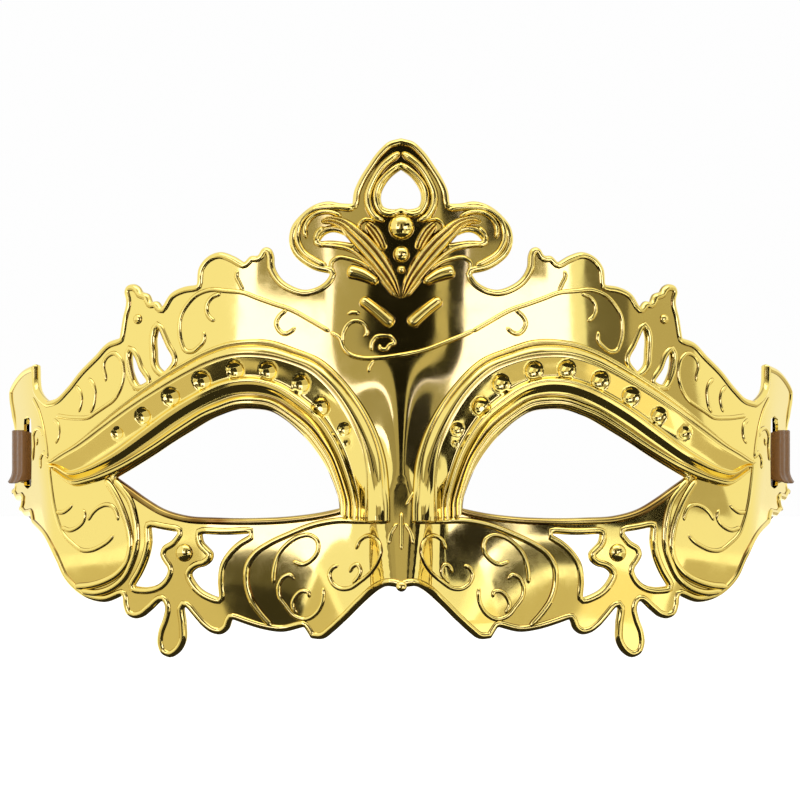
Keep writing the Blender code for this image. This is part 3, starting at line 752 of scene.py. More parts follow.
def make_shell():
    """Front skin on the face, back skin a wall behind it along the normals, and a strip round every edge."""
    half, triangles = flat_pattern()
    used, triangles = np.unique(triangles, return_inverse=True)
    half, triangles = half[used], triangles.reshape(-1, 3)
    on_axis = half[:, 0] < 0.01
    half[on_axis, 0] = 0
    other = np.where(on_axis, np.arange(len(half)), len(half) + np.cumsum(~on_axis) - 1)
    points = np.concatenate([half, half[~on_axis] * (-1, 1)])
    triangles = np.concatenate([triangles, other[triangles][:, ::-1]])
    front, normal = face_frame(points)
    corner = front[triangles]
    facing = np.cross(corner[:, 1] - corner[:, 0], corner[:, 2] - corner[:, 0])[:, 1]
    triangles[facing > 0] = triangles[facing > 0][:, ::-1]
    back = front - normal * (WALL - hollow(points))[:, None]
    sides = np.concatenate([triangles[:, [0, 1]], triangles[:, [1, 2]], triangles[:, [2, 0]]])
    met = set(map(tuple, sides.tolist()))
    border = np.array([side for side in met if side[::-1] not in met])
    count = len(points)
    strip = np.column_stack([border[:, 1], border[:, 0], border[:, 0] + count, border[:, 1] + count])
    mesh = bpy.data.meshes.new("mask_shell_fine")
    mesh.from_pydata((np.concatenate([front, back]) * MM).tolist(), [],
                     [*triangles.tolist(), *(triangles[:, ::-1] + count).tolist(), *strip.tolist()])
    mesh.attributes.new("height", "FLOAT", "POINT").data.foreach_set("value", np.full(2 * count, 1.0))
    mesh.shade_smooth()
    mesh.normals_split_custom_set_from_vertices(np.concatenate([normal, -normal]).tolist())
    mesh.materials.append(gold)
    print("shell", len(mesh.polygons), "faces,", len(border), "edges round it")
    return placed("mask_shell_fine", mesh)


shell = make_shell()
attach(shell, "mask")
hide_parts("mask_shell")

# %% [markdown]
# Every edge of the moulding but the strap slots' is rolled to a round bead, which hides the cut of the
# flat pattern. The bead is an oval carried round each outline, just inside it, so the outline keeps its size.

# %% Rolled rims
RIM_HALF_WIDTH, RIM_HALF_DEPTH = 0.95, 1.2
SLIM_HALF_DEPTH = 0.85              # where the ribbon passes over the rim
RIBBON_RIM, RIBBON_REACH = 92, (-5.5, 9.5)
RIM_STEP, RIM_POINTS = 0.5, 16
DARK_BELOW = -3                     # below this height the eye's rim is painted with shade
SHADE_FADE = 0.4                    # angle over which the painted shade fades round the bead
# Angle round the bead where a thin dark outline is painted as shade along its outermost edge.
OUTERMOST = 3.0


def rim(loop, is_hole=True, lower_shade=1.0):
    """An oval in the plane of side and normal, inside the material but for its outermost point."""
    spots, _, _ = evenly(loop, True, RIM_STEP)
    # Below DARK_BELOW the lid's rim is painted with shade: lower_shade is its share of full gold.
    bright = np.where(spots[:, 1] < DARK_BELOW, lower_shade, 1.0)
    centre, normal = face_frame(spots)
    side = np.cross(normal, along_line(centre, True, 2))
    side /= np.linalg.norm(side, axis=1, keepdims=True)
    side *= -1 if (signed_area(loop) > 0) == is_hole else 1     # anticlockwise loops hold it inside
    turn = np.linspace(0, 2 * np.pi, RIM_POINTS, endpoint=False)
    low, high = RIBBON_REACH
    under_ribbon = (np.abs(spots[:, 0]) > RIBBON_RIM) & (spots[:, 1] > low) & (spots[:, 1] < high)
    depth = np.where(under_ribbon, SLIM_HALF_DEPTH, RIM_HALF_DEPTH)
    depth = np.convolve(np.pad(depth, 3, mode="wrap"), np.full(7, 1 / 7), "valid")[:, None, None]
    middle = centre + side * RIM_HALF_WIDTH - normal * WALL / 2
    rings = (middle[:, None] + side[:, None] * (np.cos(turn)[:, None] * RIM_HALF_WIDTH)
             + normal[:, None] * (np.sin(turn)[:, None] * depth))
    points, faces = tube(rings, closed=True)
    emerging = np.arcsin(WALL / 2 / RIM_HALF_DEPTH)
    foot = np.minimum(turn, 2 * np.pi - turn) - emerging - 0.1      # angle past where it leaves the wall
    # Painted shade: deep where the bead leaves the wall and in a thin line round its outermost edge, full gold
    # elsewhere.
    shade = (np.clip(foot / SHADE_FADE, 0, 1)
             * np.clip((np.abs(turn - OUTERMOST) - 0.1) / SHADE_FADE, 0, 1))
    return points, faces, np.outer(bright, shade).ravel()


def whole(points):
    """The closed loop of a half line that starts and ends on the centre plane."""
    half = smooth_line(points, step=RIM_STEP)
    return np.vstack([half, half[-2:0:-1] * (-1, 1)])


lids = [rim(smooth_line(EYE, True, RIM_STEP), lower_shade=0.15)]
windows = [rim(smooth_line(hole, True, RIM_STEP)) for hole in HOLES if hole not in (EYE, STRAP_SLOT)]
rims = [rim(whole(OUTER_EDGE), False), rim(whole(HEART_EDGE)), *both([*lids, *windows])]
solid("rolled_rims", rims, gold)

# %% [markdown]
# The brow band is the boldest moulding: a hood over each eye, with an outer roll, a hollow channel
# with a row of dimples, an inner roll, a cove and the eye's rim. Five guide lines run along it, from
# the nose round to the temple. A skin is stretched over them, and one cross-section gives its height,
# so the mouldings stay parallel to the guides however the band widens and turns.

# %% Brow hood
# Each row is a station: outer edge, channel's outer edge, inner roll, eye rim, eye edge.
HOOD_GUIDES = np.array([
    [(2.4, -12.9), (6.4, -12.9), (9.5, -12.7), (12.1, -12.5), (13.9, -11.2)],
    [(2.4, -12.3), (6.4, -12.3), (9.5, -12.0), (12.5, -11.8), (14.1, -10.5)],
    [(2.5, -7.5), (6.6, -7.3), (9.8, -7.4), (12.8, -7.4), (14.5, -7.3)],
    [(3.4, 1.4), (7.7, 1.6), (12.8, 1.4), (15.5, 0.7), (17.3, -0.2)],
    [(6.4, 9.8), (10.4, 8.7), (15.7, 7.0), (18.5, 5.7), (20.5, 4.5)],
    [(11.6, 17.8), (14.8, 15.9), (18.9, 11.3), (21.2, 8.9), (22.8, 7.0)],
    [(17.6, 23.8), (19.9, 21.0), (22.8, 14.6), (25.0, 11.9), (26.3, 10.1)],
    [(23.8, 26.6), (25.2, 23.4), (27.4, 17.7), (29.1, 14.5), (29.9, 12.2)],
    [(30.5, 28.7), (30.9, 24.7), (32.3, 19.3), (33.1, 15.3), (33.7, 12.8)],
    [(37.9, 28.6), (37.4, 24.8), (37.4, 19.3), (37.5, 15.1), (37.6, 12.7)],
    [(43.9, 26.9), (43.2, 23.3), (42.0, 18.1), (41.5, 13.8), (41.1, 11.6)],
    [(50.2, 23.7), (49.0, 20.5), (47.2, 15.5), (45.7, 12.0), (45.0, 10.0)],
    [(57.6, 19.2), (55.7, 16.6), (52.8, 12.1), (51.1, 8.6), (50.3, 6.8)],
    [(65.0, 13.9), (62.3, 12.4), (58.7, 7.7), (57.3, 4.4), (56.5, 2.8)],
    [(70.8, 9.1), (68.6, 7.9), (64.9, 3.0), (63.4, 0.8), (62.5, -0.7)],
    [(75.9, 4.9), (73.7, 4.2), (70.4, -0.2), (68.5, -1.6), (67.0, -2.9)],
    [(79.4, 2.8), (77.4, 2.0), (73.9, -1.6), (72.4, -3.1), (71.4, -4.3)],
    [(81.7, 1.3), (79.4, 0.7), (76.8, -2.0), (76.6, -3.7), (76.3, -5.1)],
    [(82.4, 0.7), (80.6, 0.1), (79.7, -0.6), (80.3, -1.5), (80.8, -2.2)],
    [(82.7, 0.6), (82.4, 0.1), (82.1, -0.4), (81.6, -1.2), (81.1, -1.9)],
])
# Cross-section: place across the guides (0 outer edge to 4 eye edge), height in mm, and painted shade as a tone
# share (0 deep painted shade in the grooves, 1 full gold).
HOOD_SECTION = np.array([
    (0.00, 0.00, 0.0), (0.08, 0.95, 1.0), (0.20, 1.05, 1.0), (0.30, 0.70, 0.1), (0.40, 1.30, 0.9),
    (0.66, 2.10, 1.0), (0.84, 2.25, 1.0), (0.93, 1.95, 0.2), (1.02, 2.00, 0.5), (1.12, 1.88, 1.0),
    (1.76, 0.98, 1.0), (1.85, 0.90, 0.4), (1.93, 1.60, 0.5), (2.04, 2.05, 1.0), (2.14, 1.95, 0.9),
    (2.20, 1.72, 0.4), (2.27, 1.80, 0.9), (2.40, 1.25, 0.9), (2.74, 0.50, 0.5), (2.86, 0.42, 0.1),
    (2.94, 1.00, 0.6), (3.08, 1.42, 1.0), (3.22, 1.30, 0.9), (3.30, 1.02, 0.2), (3.40, 1.20, 0.9),
    (3.66, 0.95, 0.6), (4.00, -0.45, 0.3),
])
DIMPLES = [
    (64.9, 7.3, 1.5), (58.9, 11.3, 1.9), (52.3, 15.7, 2.1), (45.2, 19.3, 2.1), (37.6, 21.8, 2.1),
    (30.1, 21.5, 2.1), (22.6, 18.5, 2.1), (18.0, 13.2, 2.1), (12.5, 8.0, 1.5), (12.0, 4.8, 0.7),
]
DIMPLE_DEPTH = 0.5                  # share of its radius
HOOD_STEPS, HOOD_ROWS = 420, 12
NOSE_END, TEMPLE_END = 5, 16        # stations over which the hood rises from the face at its ends
HOOD_KEEL = 0.1


def spline(values, count):
    """Cubic through stacked rows, with each row's slope half the step between its neighbours."""
    slope = np.gradient(values, axis=0)
    at = np.linspace(0, len(values) - 1, count)
    low = np.minimum(at.astype(int), len(values) - 2)
    t = (at - low).reshape(-1, *[1] * (values.ndim - 1))
    return cubic(t, values[low], slope[low], values[low + 1], slope[low + 1])


def eased(at, table):
    """Cubic joining the table's rows without overshoot: flat at crests and hollows, mean slope elsewhere."""
    place, values = table[:, 0], table[:, 1:]
    secant = np.diff(values, axis=0) / np.diff(place)[:, None]
    before, after = secant[:-1], secant[1:]
    same_way = before * after > 0
    slope = np.zeros_like(values)
    slope[1:-1] = np.where(same_way, 2 * before * after / np.where(same_way, before + after, 1), 0)
    low = np.clip(np.searchsorted(place, at, "right") - 1, 0, len(place) - 2)
    width = np.diff(place)[low, None]
    t = (at[:, None] - place[low, None]) / width
    return cubic(t, values[low], width * slope[low], values[low + 1], width * slope[low + 1]).T


def make_hood():
    """Grid of stations along the band and places across it; height is the section less the dimples' bowls."""
    guides = spline(HOOD_GUIDES, HOOD_STEPS)
    across = np.concatenate([np.linspace(i, i + 1, HOOD_ROWS + (6 if i < 2 else 0), endpoint=False)
                             for i in range(4)] + [[4.0]])
    low = np.minimum(across.astype(int), 3)
    part = (across - low)[None, :, None]
    spots = guides[:, low] * (1 - part) + guides[:, low + 1] * part
    flat = spots.reshape(-1, 2)
    # tone_share is the painted shade across the section, deep in the grooves.
    height, tone_share = (np.tile(row, HOOD_STEPS) for row in eased(across, HOOD_SECTION))
    station = np.arange(HOOD_STEPS)
    ends = np.clip(np.minimum(station / NOSE_END, (HOOD_STEPS - 1 - station) / TEMPLE_END), 0, 1)
    height = height * np.repeat(np.sqrt(1 - (1 - ends) ** 2), len(across))
    place, normal = face_frame(flat)
    for x, z, radius in DIMPLES:
        middle = face_frame(np.array([(x, z)]))[0][0]
        away = np.linalg.norm(place - middle, axis=1) / radius
        bowl = np.sqrt(np.clip(1 - away**2, 0, 1))
        height -= bowl * radius * DIMPLE_DEPTH
    top = (place + normal * height[:, None]).reshape(HOOD_STEPS, -1, 3)
    keel, keel_normal = face_frame(spots[:, [-2, len(across) // 2, 1]].reshape(-1, 2))
    bottom = (keel - keel_normal * HOOD_KEEL).reshape(HOOD_STEPS, -1, 3)
    points, faces = tube(np.concatenate([top, bottom], axis=1))
    # The keel's points get full painted shade.
    share = np.concatenate([tone_share.clip(0, 1).reshape(HOOD_STEPS, -1), np.zeros((HOOD_STEPS, 3))], axis=1)
    return points, faces, share.ravel()


solid("brow_hoods", both([make_hood()]), gold)

# %% [markdown]
# Scrolls and vines are thin raised lines drawn over the smooth lobes. Each is a short list of points
# on the real one's centre line; the ridge helper carries a bell-shaped profile along it. Most come in
# mirrored pairs, but the little swirl under the crest sits only to one side, as carvers often leave it.

# %% Scrollwork
VINE = [
    [(45.4, 30.8), (45.4, 28.5), (46.5, 27.2), (48.1, 26.1), (49.6, 26.3), (50.6, 28.2), (51.1, 31.3),
     (50.7, 34.4), (49.2, 37.0), (47.1, 39.1), (43.8, 40.3), (40.2, 40.0), (36.1, 39.5), (33.0, 38.3),
     (28.9, 36.8), (25.4, 35.6), (20.1, 32.7), (16.2, 30.4)],
    [(41.3, 39.4), (43.4, 38.6), (44.6, 37.0), (44.6, 34.9), (43.8, 33.7), (42.7, 33.0)],
    [(36.1, 39.7), (37.1, 41.8), (37.8, 43.5), (37.4, 44.7)],
    [(26.0, 35.6), (28.0, 33.9), (28.6, 32.5), (28.0, 30.9), (26.8, 30.0), (24.8, 30.8), (24.1, 31.6)],
]
SWIRL = [
    [(-16.2, 30.4), (-14.0, 28.9), (-13.2, 26.9), (-11.6, 25.2), (-8.9, 24.4), (-5.6, 24.4), (-1.8, 24.8),
     (2.0, 25.4), (5.7, 26.3), (9.6, 27.8), (14.6, 29.8), (16.7, 30.8)],
    [(-13.4, 27.5), (-13.2, 30.1), (-12.2, 32.0), (-10.7, 32.9), (-9.0, 32.6), (-7.9, 31.3), (-7.9, 29.7),
     (-8.7, 29.3)],
    [(-12.4, 34.5), (-11.0, 34.8), (-9.2, 34.5)],
    [(-6.7, 25.9), (-6.7, 27.8), (-5.8, 29.1), (-4.3, 29.5), (-2.2, 29.1), (-1.5, 27.8), (-2.5, 27.4),
     (-3.5, 26.3), (-4.8, 26.7), (-4.8, 27.6)],
    [(-6.0, 24.0), (-7.1, 22.5), (-7.5, 21.0)],
]
TEMPLE_SCROLLS = [
    [(68.7, 19.3), (68.9, 21.0), (69.3, 22.7), (69.1, 24.2), (68.2, 25.4), (66.7, 26.0), (65.2, 24.7),
     (64.5, 22.6), (64.6, 19.7), (65.4, 17.2), (66.7, 15.2), (69.1, 13.5), (71.3, 12.1), (72.5, 11.3),
     (76.1, 11.0), (81.1, 11.6)],
    [(76.2, 18.6), (75.1, 17.2), (74.7, 15.3), (75.0, 13.6), (75.4, 12.2)],
    [(73.1, 20.3), (71.9, 19.0), (71.4, 17.3), (71.5, 15.2), (71.9, 13.4), (72.6, 12.1)],
    [(81.8, 10.8), (80.6, 9.6), (80.3, 8.0), (80.5, 6.3), (81.2, 4.9)],
    [(63.7, 26.2), (62.7, 21.6), (61.7, 17.1)],
    [(87.4, 16.0), (85.8, 13.2), (84.8, 10.3), (83.7, 5.5), (83.1, 1.4)],
    [(87.2, 0.9), (86.9, 4.6), (86.9, 7.4), (86.0, 8.7), (84.9, 8.2), (84.3, 6.6)],
    [(85.9, 6.6), (86.1, 4.4)],
    [(84.9, -1.0), (84.8, 1.9), (84.1, 2.9), (83.3, 1.7)],
]
CHEEK_SCROLLS = [
    [(82.9, 1.2), (82.0, -5.2), (81.2, -9.6), (80.2, -13.1), (79.0, -15.9), (76.7, -18.2), (74.2, -19.8),
     (72.0, -19.8), (69.6, -18.8), (67.8, -17.6), (66.5, -16.1)],
    [(80.7, -11.0), (78.8, -11.0), (77.7, -10.3), (76.5, -9.1)],
    [(79.3, -14.5), (77.2, -15.2), (75.2, -14.4), (73.9, -13.0), (73.6, -11.5), (74.1, -10.2)],
    [(72.8, -13.0), (71.8, -11.3), (70.1, -9.8), (68.3, -9.2), (67.0, -9.5), (65.8, -11.3), (65.5, -13.0)],
]
NOSE_ARROW = [
    [(0.8, -13.1), (2.3, -15.5), (2.8, -18.0)],
    [(0.1, -19.2), (0.1, -14.0), (0.1, -10.7)],
]
NOSE_STROKE = [(3.2, -5.8), (2.3, -7.2), (1.1, -9.2)]
CHEEK_ROLLS = [
    [(68.6, -3.2), (66.0, -7.2), (64.1, -11.2), (62.8, -15.7), (62.5, -18.7), (63.2, -22.1), (66.0, -25.5),
     (68.3, -26.8), (72.0, -28.0), (76.2, -28.4)],
    [(66.5, -3.2), (62.5, -8.6), (61.4, -12.5), (61.0, -15.7), (61.2, -19.2), (62.3, -22.7), (64.1, -26.1),
     (67.0, -28.5), (70.6, -29.7), (74.7, -29.3)],
]
NOSE_ROLL = [(2.6, -12.6), (9.2, -12.7), (14.8, -12.7), (20.3, -13.8), (25.4, -15.8), (30.1, -18.0),
             (33.4, -20.3), (35.1, -23.0), (35.4, -26.3), (34.3, -30.8), (32.1, -34.1), (29.3, -37.2)]
NOSE_SCROLLS = [
    [(24.8, -21.9), (22.5, -22.7), (20.3, -21.6), (18.9, -19.3), (19.2, -17.1), (20.9, -16.0),
     (23.1, -16.3), (25.9, -18.0), (27.8, -20.2), (28.9, -23.5), (29.2, -27.2)],
    [(24.2, -26.3), (25.4, -25.1), (26.7, -25.5), (27.9, -27.4), (27.9, -29.7), (26.2, -32.4),
     (24.2, -34.6), (21.7, -35.2), (19.5, -34.0), (18.1, -31.8), (17.7, -29.6), (17.8, -27.9)],
    [(20.9, -30.4), (21.2, -29.0), (22.6, -28.8), (24.2, -30.2), (24.8, -32.1), (23.7, -34.0)],
    [(10.3, -19.3), (9.2, -17.0), (7.3, -16.0), (5.3, -17.0), (4.5, -19.2), (5.1, -21.7), (6.7, -24.2),
     (9.2, -26.4), (12.0, -28.1), (13.9, -28.1), (15.9, -26.5), (16.3, -24.6), (15.3, -23.2),
     (14.2, -22.9)],
    [(11.7, -24.6), (10.9, -23.0), (10.0, -22.6), (9.2, -23.9), (9.8, -25.6), (11.1, -27.0)],
]
NOSE_NUB = (0.1, -27.3, 1.25, 0.9)


def ridges(lines, half_width, height):
    """The same ridge along each line."""
    return [ridge(line, half_width, height) for line in lines]


solid("brow_vine", [*both(ridges(VINE, 0.6, 0.5)), *ridges(SWIRL, 0.6, 0.5)], gold)
solid("temple_scrolls", both(ridges(TEMPLE_SCROLLS, 0.6, 0.45)), gold)
solid("cheek_scrolls", both(ridges(CHEEK_SCROLLS, 0.6, 0.45)), gold)
solid("cheek_rolls", both(ridges(CHEEK_ROLLS, 0.95, 0.8)), gold)
solid("nose_arrow", [*both(ridges(NOSE_ARROW[:1], 0.55, 0.5)), *ridges(NOSE_ARROW[1:], 0.55, 0.5),
                     ridge(NOSE_STROKE, 0.45, 0.4), dome(*NOSE_NUB)], gold)
solid("nose_scrolls", both([ridge(NOSE_ROLL, 0.8, 0.75), *ridges(NOSE_SCROLLS, 0.6, 0.5)]), gold)

# %% [markdown]
# The crest is a fleur-de-lis. Two fluted arms rise from a point and curl over the windows of the side
# lobes; between them stand two beads and a pair of small curled leaves, under a finial with a heart
# in it. Two pairs of blunt bars sit below. Broad pieces use the fluted profile, whose three crests
# catch the light as parallel lines, and the bars end abruptly, as if cut off.

# %% Crest
FINIAL_RINGS = [
    ([(0.1, 68.9), (3.1, 66.6), (5.1, 64.1), (5.8, 61.8), (5.5, 59.3), (4.5, 57.8), (2.5, 57.2), (0.1, 58.0)],
     0.85, 0.9),
    ([(0.2, 71.6), (4.2, 68.3), (6.5, 64.7), (7.6, 61.5), (7.2, 58.6), (5.9, 56.7), (3.7, 55.7)], 1.0, 1.2),
]
CURLS = [
    ([(9.4, 53.6), (9.5, 54.9), (8.6, 55.9), (7.1, 56.1), (5.9, 55.5)], 0.6, 1.2),
    ([(10.6, 58.5), (16.0, 58.9), (19.9, 58.4), (22.4, 56.6), (23.6, 54.0), (23.6, 51.2), (22.2, 48.6),
      (19.7, 46.8), (16.9, 45.4)], 0.8, 0.8),
    ([(13.4, 56.8), (16.2, 57.9), (18.8, 57.7), (20.9, 56.3), (22.0, 54.1), (21.7, 51.7)], 0.7, 0.8),
    ([(19.6, 51.0), (19.0, 53.0), (17.4, 54.5)], 0.8, 1.0),
    ([(18.6, 50.4), (15.1, 50.0), (11.7, 49.2), (8.9, 47.3), (5.9, 44.4), (3.3, 41.0), (1.2, 38.4)],
     0.6, 0.8),
    ([(15.9, 43.9), (15.8, 46.4), (14.3, 47.4), (11.7, 47.1), (8.8, 46.0), (6.6, 44.3)], 0.6, 0.6),
]
FLUTED_LEAVES = [
    ([(0.3, 38.0), (1.9, 41.7), (4.6, 46.1), (7.9, 50.1), (10.9, 53.1), (13.7, 55.3), (16.3, 56.0),
      (18.4, 55.5)], (0.5, 1.5, 2.0, 2.3, 2.3, 1.9, 1.2, 0.8), 1.9, 1.0),
    ([(8.0, 55.4), (6.0, 53.2), (4.6, 50.9), (3.8, 49.0)], (0.9, 1.5, 1.4, 1.1), 1.7, 0.5),
]
BARS = [
    ([(12.4, 44.5), (9.0, 43.6), (5.2, 41.5)], (1.9, 1.7, 1.1), 1.7, 0.35),
    ([(9.2, 38.0), (5.6, 35.2), (1.8, 31.8)], (1.5, 1.6, 1.7), 1.9, 0.35),
]
CREST_BEADS = [(0.1, 54.3, 3.0, 2.3), (0.1, 48.1, 1.95, 1.7), (0.1, 44.6, 1.0, 1.0)]
STUDS = [(49.8, -20.2, 2.1, 1.5), (61.0, 33.8, 1.2, 0.8)]
solid("crest_rings", both([ridge(*row) for row in FINIAL_RINGS]), gold)
solid("crest_curls", both([ridge(*row) for row in CURLS]), gold)
solid("crest_leaves", both([ridge(line, width, height, FLUTED, taper)
                            for line, width, height, taper in FLUTED_LEAVES]), gold)
solid("crest_bars", both([ridge(line, width, height, ROUND, taper)
                          for line, width, height, taper in BARS]), gold)
solid("crest_beads", [dome(*row) for row in CREST_BEADS], gold)
solid("pendant_studs", both([dome(*row) for row in STUDS]), gold)

# %% [markdown]
# The ties are satin ribbon, 12.7 mm wide. Satin is woven so that long warp threads float on top: it
# has a soft sheen along one direction, and shows fine parallel lines close up. The weave follows the
# cloth's own UV map, which is in millimetres, so it bends with every fold.

# %% Satin
weave, given, result = effect(
    "satin_weave",
    [("Warp", "Color", (1, 1, 1, 1)), ("Weft", "Color", (0, 0, 0, 1)), ("Thread pitch", "Float", 0.14),
     ("Relief", "Float", 0.35)],
    [("Colour", "Color"), ("Roughness", "Float"), ("Normal", "Vector")])
cloth_at = node(weave, "UVMap", uv_map="cloth").outputs["UV"]
axes = node(weave, "SeparateXYZ", {0: cloth_at})
turns = maths(weave, "DIVIDE", 2 * np.pi, given["Thread pitch"])
warp_wave = maths(weave, "SINE", maths(weave, "MULTIPLY", axes.outputs["X"], turns))
weft_wave = maths(weave, "SINE", maths(weave, "MULTIPLY", axes.outputs["Y"], turns))
threads = maths(weave, "ADD", warp_wave, maths(weave, "MULTIPLY", weft_wave, 0.25))
slub = node(weave, "TexNoise", {"Vector": cloth_at, "Scale": 0.9, "Detail": 3.0})
mottled = maths(weave, "ADD", threads, slub.outputs["Fac"])
lit = node(weave, "MapRange", {"Value": mottled, "From Min": -0.6, "From Max": 1.5}).outputs["Result"]
weave.links.new(mixed(weave, lit, given["Weft"], given["Warp"]), result["Colour"])
fuzz = node(weave, "MapRange", {"Value": slub.outputs["Fac"], "From Min": 0.3, "From Max": 0.7,
                                "To Min": 0.34, "To Max": 0.5})
weave.links.new(fuzz.outputs["Result"], result["Roughness"])
thread_bump = node(weave, "Bump", {"Height": threads, "Distance": 0.00003, "Strength": given["Relief"]})
weave.links.new(thread_bump.outputs["Normal"], result["Normal"])


def satin(name, warp, weft):
    """Satin cloth: the weave's colour, haze and thread relief, under a Principled sheen."""
    material, tree, shader = node_material(name)
    threads = use(tree, weave, warp=(*warp, 1), weft=(*weft, 1))
    wire(tree, threads, shader, Colour="Base Color", Roughness="Roughness", Normal="Normal")
    shader.inputs["Sheen Weight"].default_value = 0.1
    shader.inputs["Sheen Roughness"].default_value = 0.35
    shader.inputs["Sheen Tint"].default_value = (1.0, 0.85, 0.6, 1)
    shader.inputs["Specular Tint"].default_value = (1.0, 0.75, 0.4, 1)
    return material


bronze_satin = satin("bronze_satin", (0.19, 0.073, 0.009), (0.06, 0.021, 0.003))
# The wire's second colour is painted shade too, from the same tone group.
twist_wire = plated("twist_wire", (0.85, 0.62, 0.22), (0.25, 0.11, 0.02), polish=0.22, haze=0.4)


def cloth(name, sheets, thickness, body):
    """Sheets of cloth as (grid of places in mm, grid of cloth positions in mm), given a thickness."""
    places, flat, faces, first = [], [], [], 0
    for grid, spread in sheets:
        rows, columns = grid.shape[:2]
        here = np.arange(rows * columns).reshape(rows, columns) + first
        corners = [here[:-1, :-1], here[:-1, 1:], here[1:, 1:], here[1:, :-1]]
        faces.append(np.stack(corners, -1).reshape(-1, 4))
        places.append(grid.reshape(-1, 3))
        flat.append(spread.reshape(-1, 2))
        first += rows * columns
    mesh = bpy.data.meshes.new(name)
    mesh.from_pydata((np.concatenate(places) * MM).tolist(), [], np.concatenate(faces).tolist())
    layer = mesh.uv_layers.new(name="cloth")
    corner = np.empty(len(mesh.loops), int)
    mesh.loops.foreach_get("vertex_index", corner)
    layer.data.foreach_set("uv", np.concatenate(flat)[corner].ravel())
    mesh.shade_smooth()
    mesh.materials.append(bronze_satin)
    obj = placed(name, mesh)
    wall = obj.modifiers.new("cloth thickness", "SOLIDIFY")
    wall.thickness = thickness * MM
    wall.offset = 0
    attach(obj, body)
    return obj


def cloth_area(grid):
    """Area of a grid in square mm, as half the cross product of each cell's diagonals."""
    one, two = grid[1:, 1:] - grid[:-1, :-1], grid[1:, :-1] - grid[:-1, 1:]
    return np.linalg.norm(np.cross(one, two), axis=2).sum() / 2


# %% [markdown]
# Each ribbon goes through its slot and round the slot's rear bar, is knotted behind it, and the rest
# is rolled up behind the temple in a twist tie, ready to be worn. In the loop the cloth lies wide and
# flat on the outside, and is gathered towards the knot. The knot is three turns of pleated ribbon
# crossing each other. The tail is one strip: a short run down from the knot, then a spiral whose
# turns are a cloth thickness and a little air apart.

# %% Sizes and axes at the temple
RIBBON_WIDTH, CLOTH, ROLLED_CLOTH = 12.7, 0.28, 0.22
BAR_CENTRE = (91.2, 2.0)
BAR_STRAIGHT = 4.3                  # half of the straight part of the loop's section
BAND_OUT = 1.08                     # from the middle of the wall to the middle of the cloth
KNOT_CENTRE = (-5.5, 3.5)           # outward and upward from the middle of the bar
KNOT_SIZE = (3.6, 4.2, 4.2)
KNOT_BANDS = [(0.25, 0.0, 0.95), (1.25, 0.5, 0.86), (-0.9, -0.6, 0.78)]     # tilt, swing, size
ROLL_CENTRE = (-9.4, -10.0)
ROLL_RADIUS, ROLL_CORE, ROLL_PITCH = 7.2, 1.75, 0.415


def temple_places(side, local):
    """Places from the temple's own axes, outward, along and up the plate, with the bar's middle at zero."""
    outward = np.array([side * TEMPLE_SLOPE, -1, 0]) / np.hypot(TEMPLE_SLOPE, 1)
    along = np.array([1, side * TEMPLE_SLOPE, 0]) / np.hypot(TEMPLE_SLOPE, 1)
    up = np.cross(outward, along)
    x, z = BAR_CENTRE
    depth = TEMPLE_START[1] + TEMPLE_SLOPE * (x - TEMPLE_START[0])
    centre = np.array([side * x, depth, z]) - outward * WALL / 2
    return centre + local @ np.array([outward, along, up])


def stacked(*arrays):
    """Arrays spread over one grid, as the columns of its last axis."""
    return np.stack(np.broadcast_arrays(*arrays), -1)


print("the bar's middle is at", temple_places(1, np.zeros(3)).round(1))


# %% Loop
def loop_sheet(side):
    """A racetrack round the bar: two straights and two half circles, gathered on the knot's side."""
    straight, bend = 2 * BAR_STRAIGHT, np.pi * BAND_OUT
    total = 2 * straight + 2 * bend
    run = np.linspace(0, total, 145)
    at = (run + straight / 2) % total
    on_back, on_far = at < straight, (at >= straight) & (at < straight + bend)
    on_front = (at >= straight + bend) & (at < 2 * straight + bend)
    turn = np.where(on_far, (at - straight) / BAND_OUT, (at - 2 * straight - bend) / BAND_OUT)
    places = [on_back, on_front, on_far]
    out = np.select(places, [-BAND_OUT, BAND_OUT, -np.cos(turn) * BAND_OUT], np.cos(turn) * BAND_OUT)
    along = np.select(places, [at - BAR_STRAIGHT, BAR_STRAIGHT - (at - straight - bend),
                               BAR_STRAIGHT + np.sin(turn) * BAND_OUT], -BAR_STRAIGHT - np.sin(turn) * BAND_OUT)
    gather = 0.5 + 0.5 * np.cos(2 * np.pi * run / total)
    width = RIBBON_WIDTH / 2 * (1 - 0.38 * gather**2)
    across = np.linspace(-1, 1, 29)
    front = np.clip(out / BAND_OUT, 0, 1)[:, None]
    fold = 0.10 * np.sin(across * 7.5 + 0.8 * side) + 0.08 * np.sin(across * 16 + run[:, None] * 0.35)
    fold = fold * (0.35 + 0.65 * gather[:, None])
    crease = 0.35 * front * (1 - np.cos(along * 1.45)[:, None]) / 2
    flare = 1.1 * front * np.clip((-across - 0.55) / 0.45, 0, 1) ** 2
    push = 1 + (fold * np.sign(out)[:, None] * (1 - front) + crease + flare + 0.12 * front) / BAND_OUT
    lift = 0.6 * gather[:, None] ** 2 + across * width[:, None]
    grid = stacked(out[:, None] * push, along[:, None], lift)
    spread = stacked(across * RIBBON_WIDTH / 2, run[:, None])
    return temple_places(side, grid.reshape(-1, 3)).reshape(grid.shape), spread


print("loop:", loop_sheet(1)[0].shape[:2], "places")


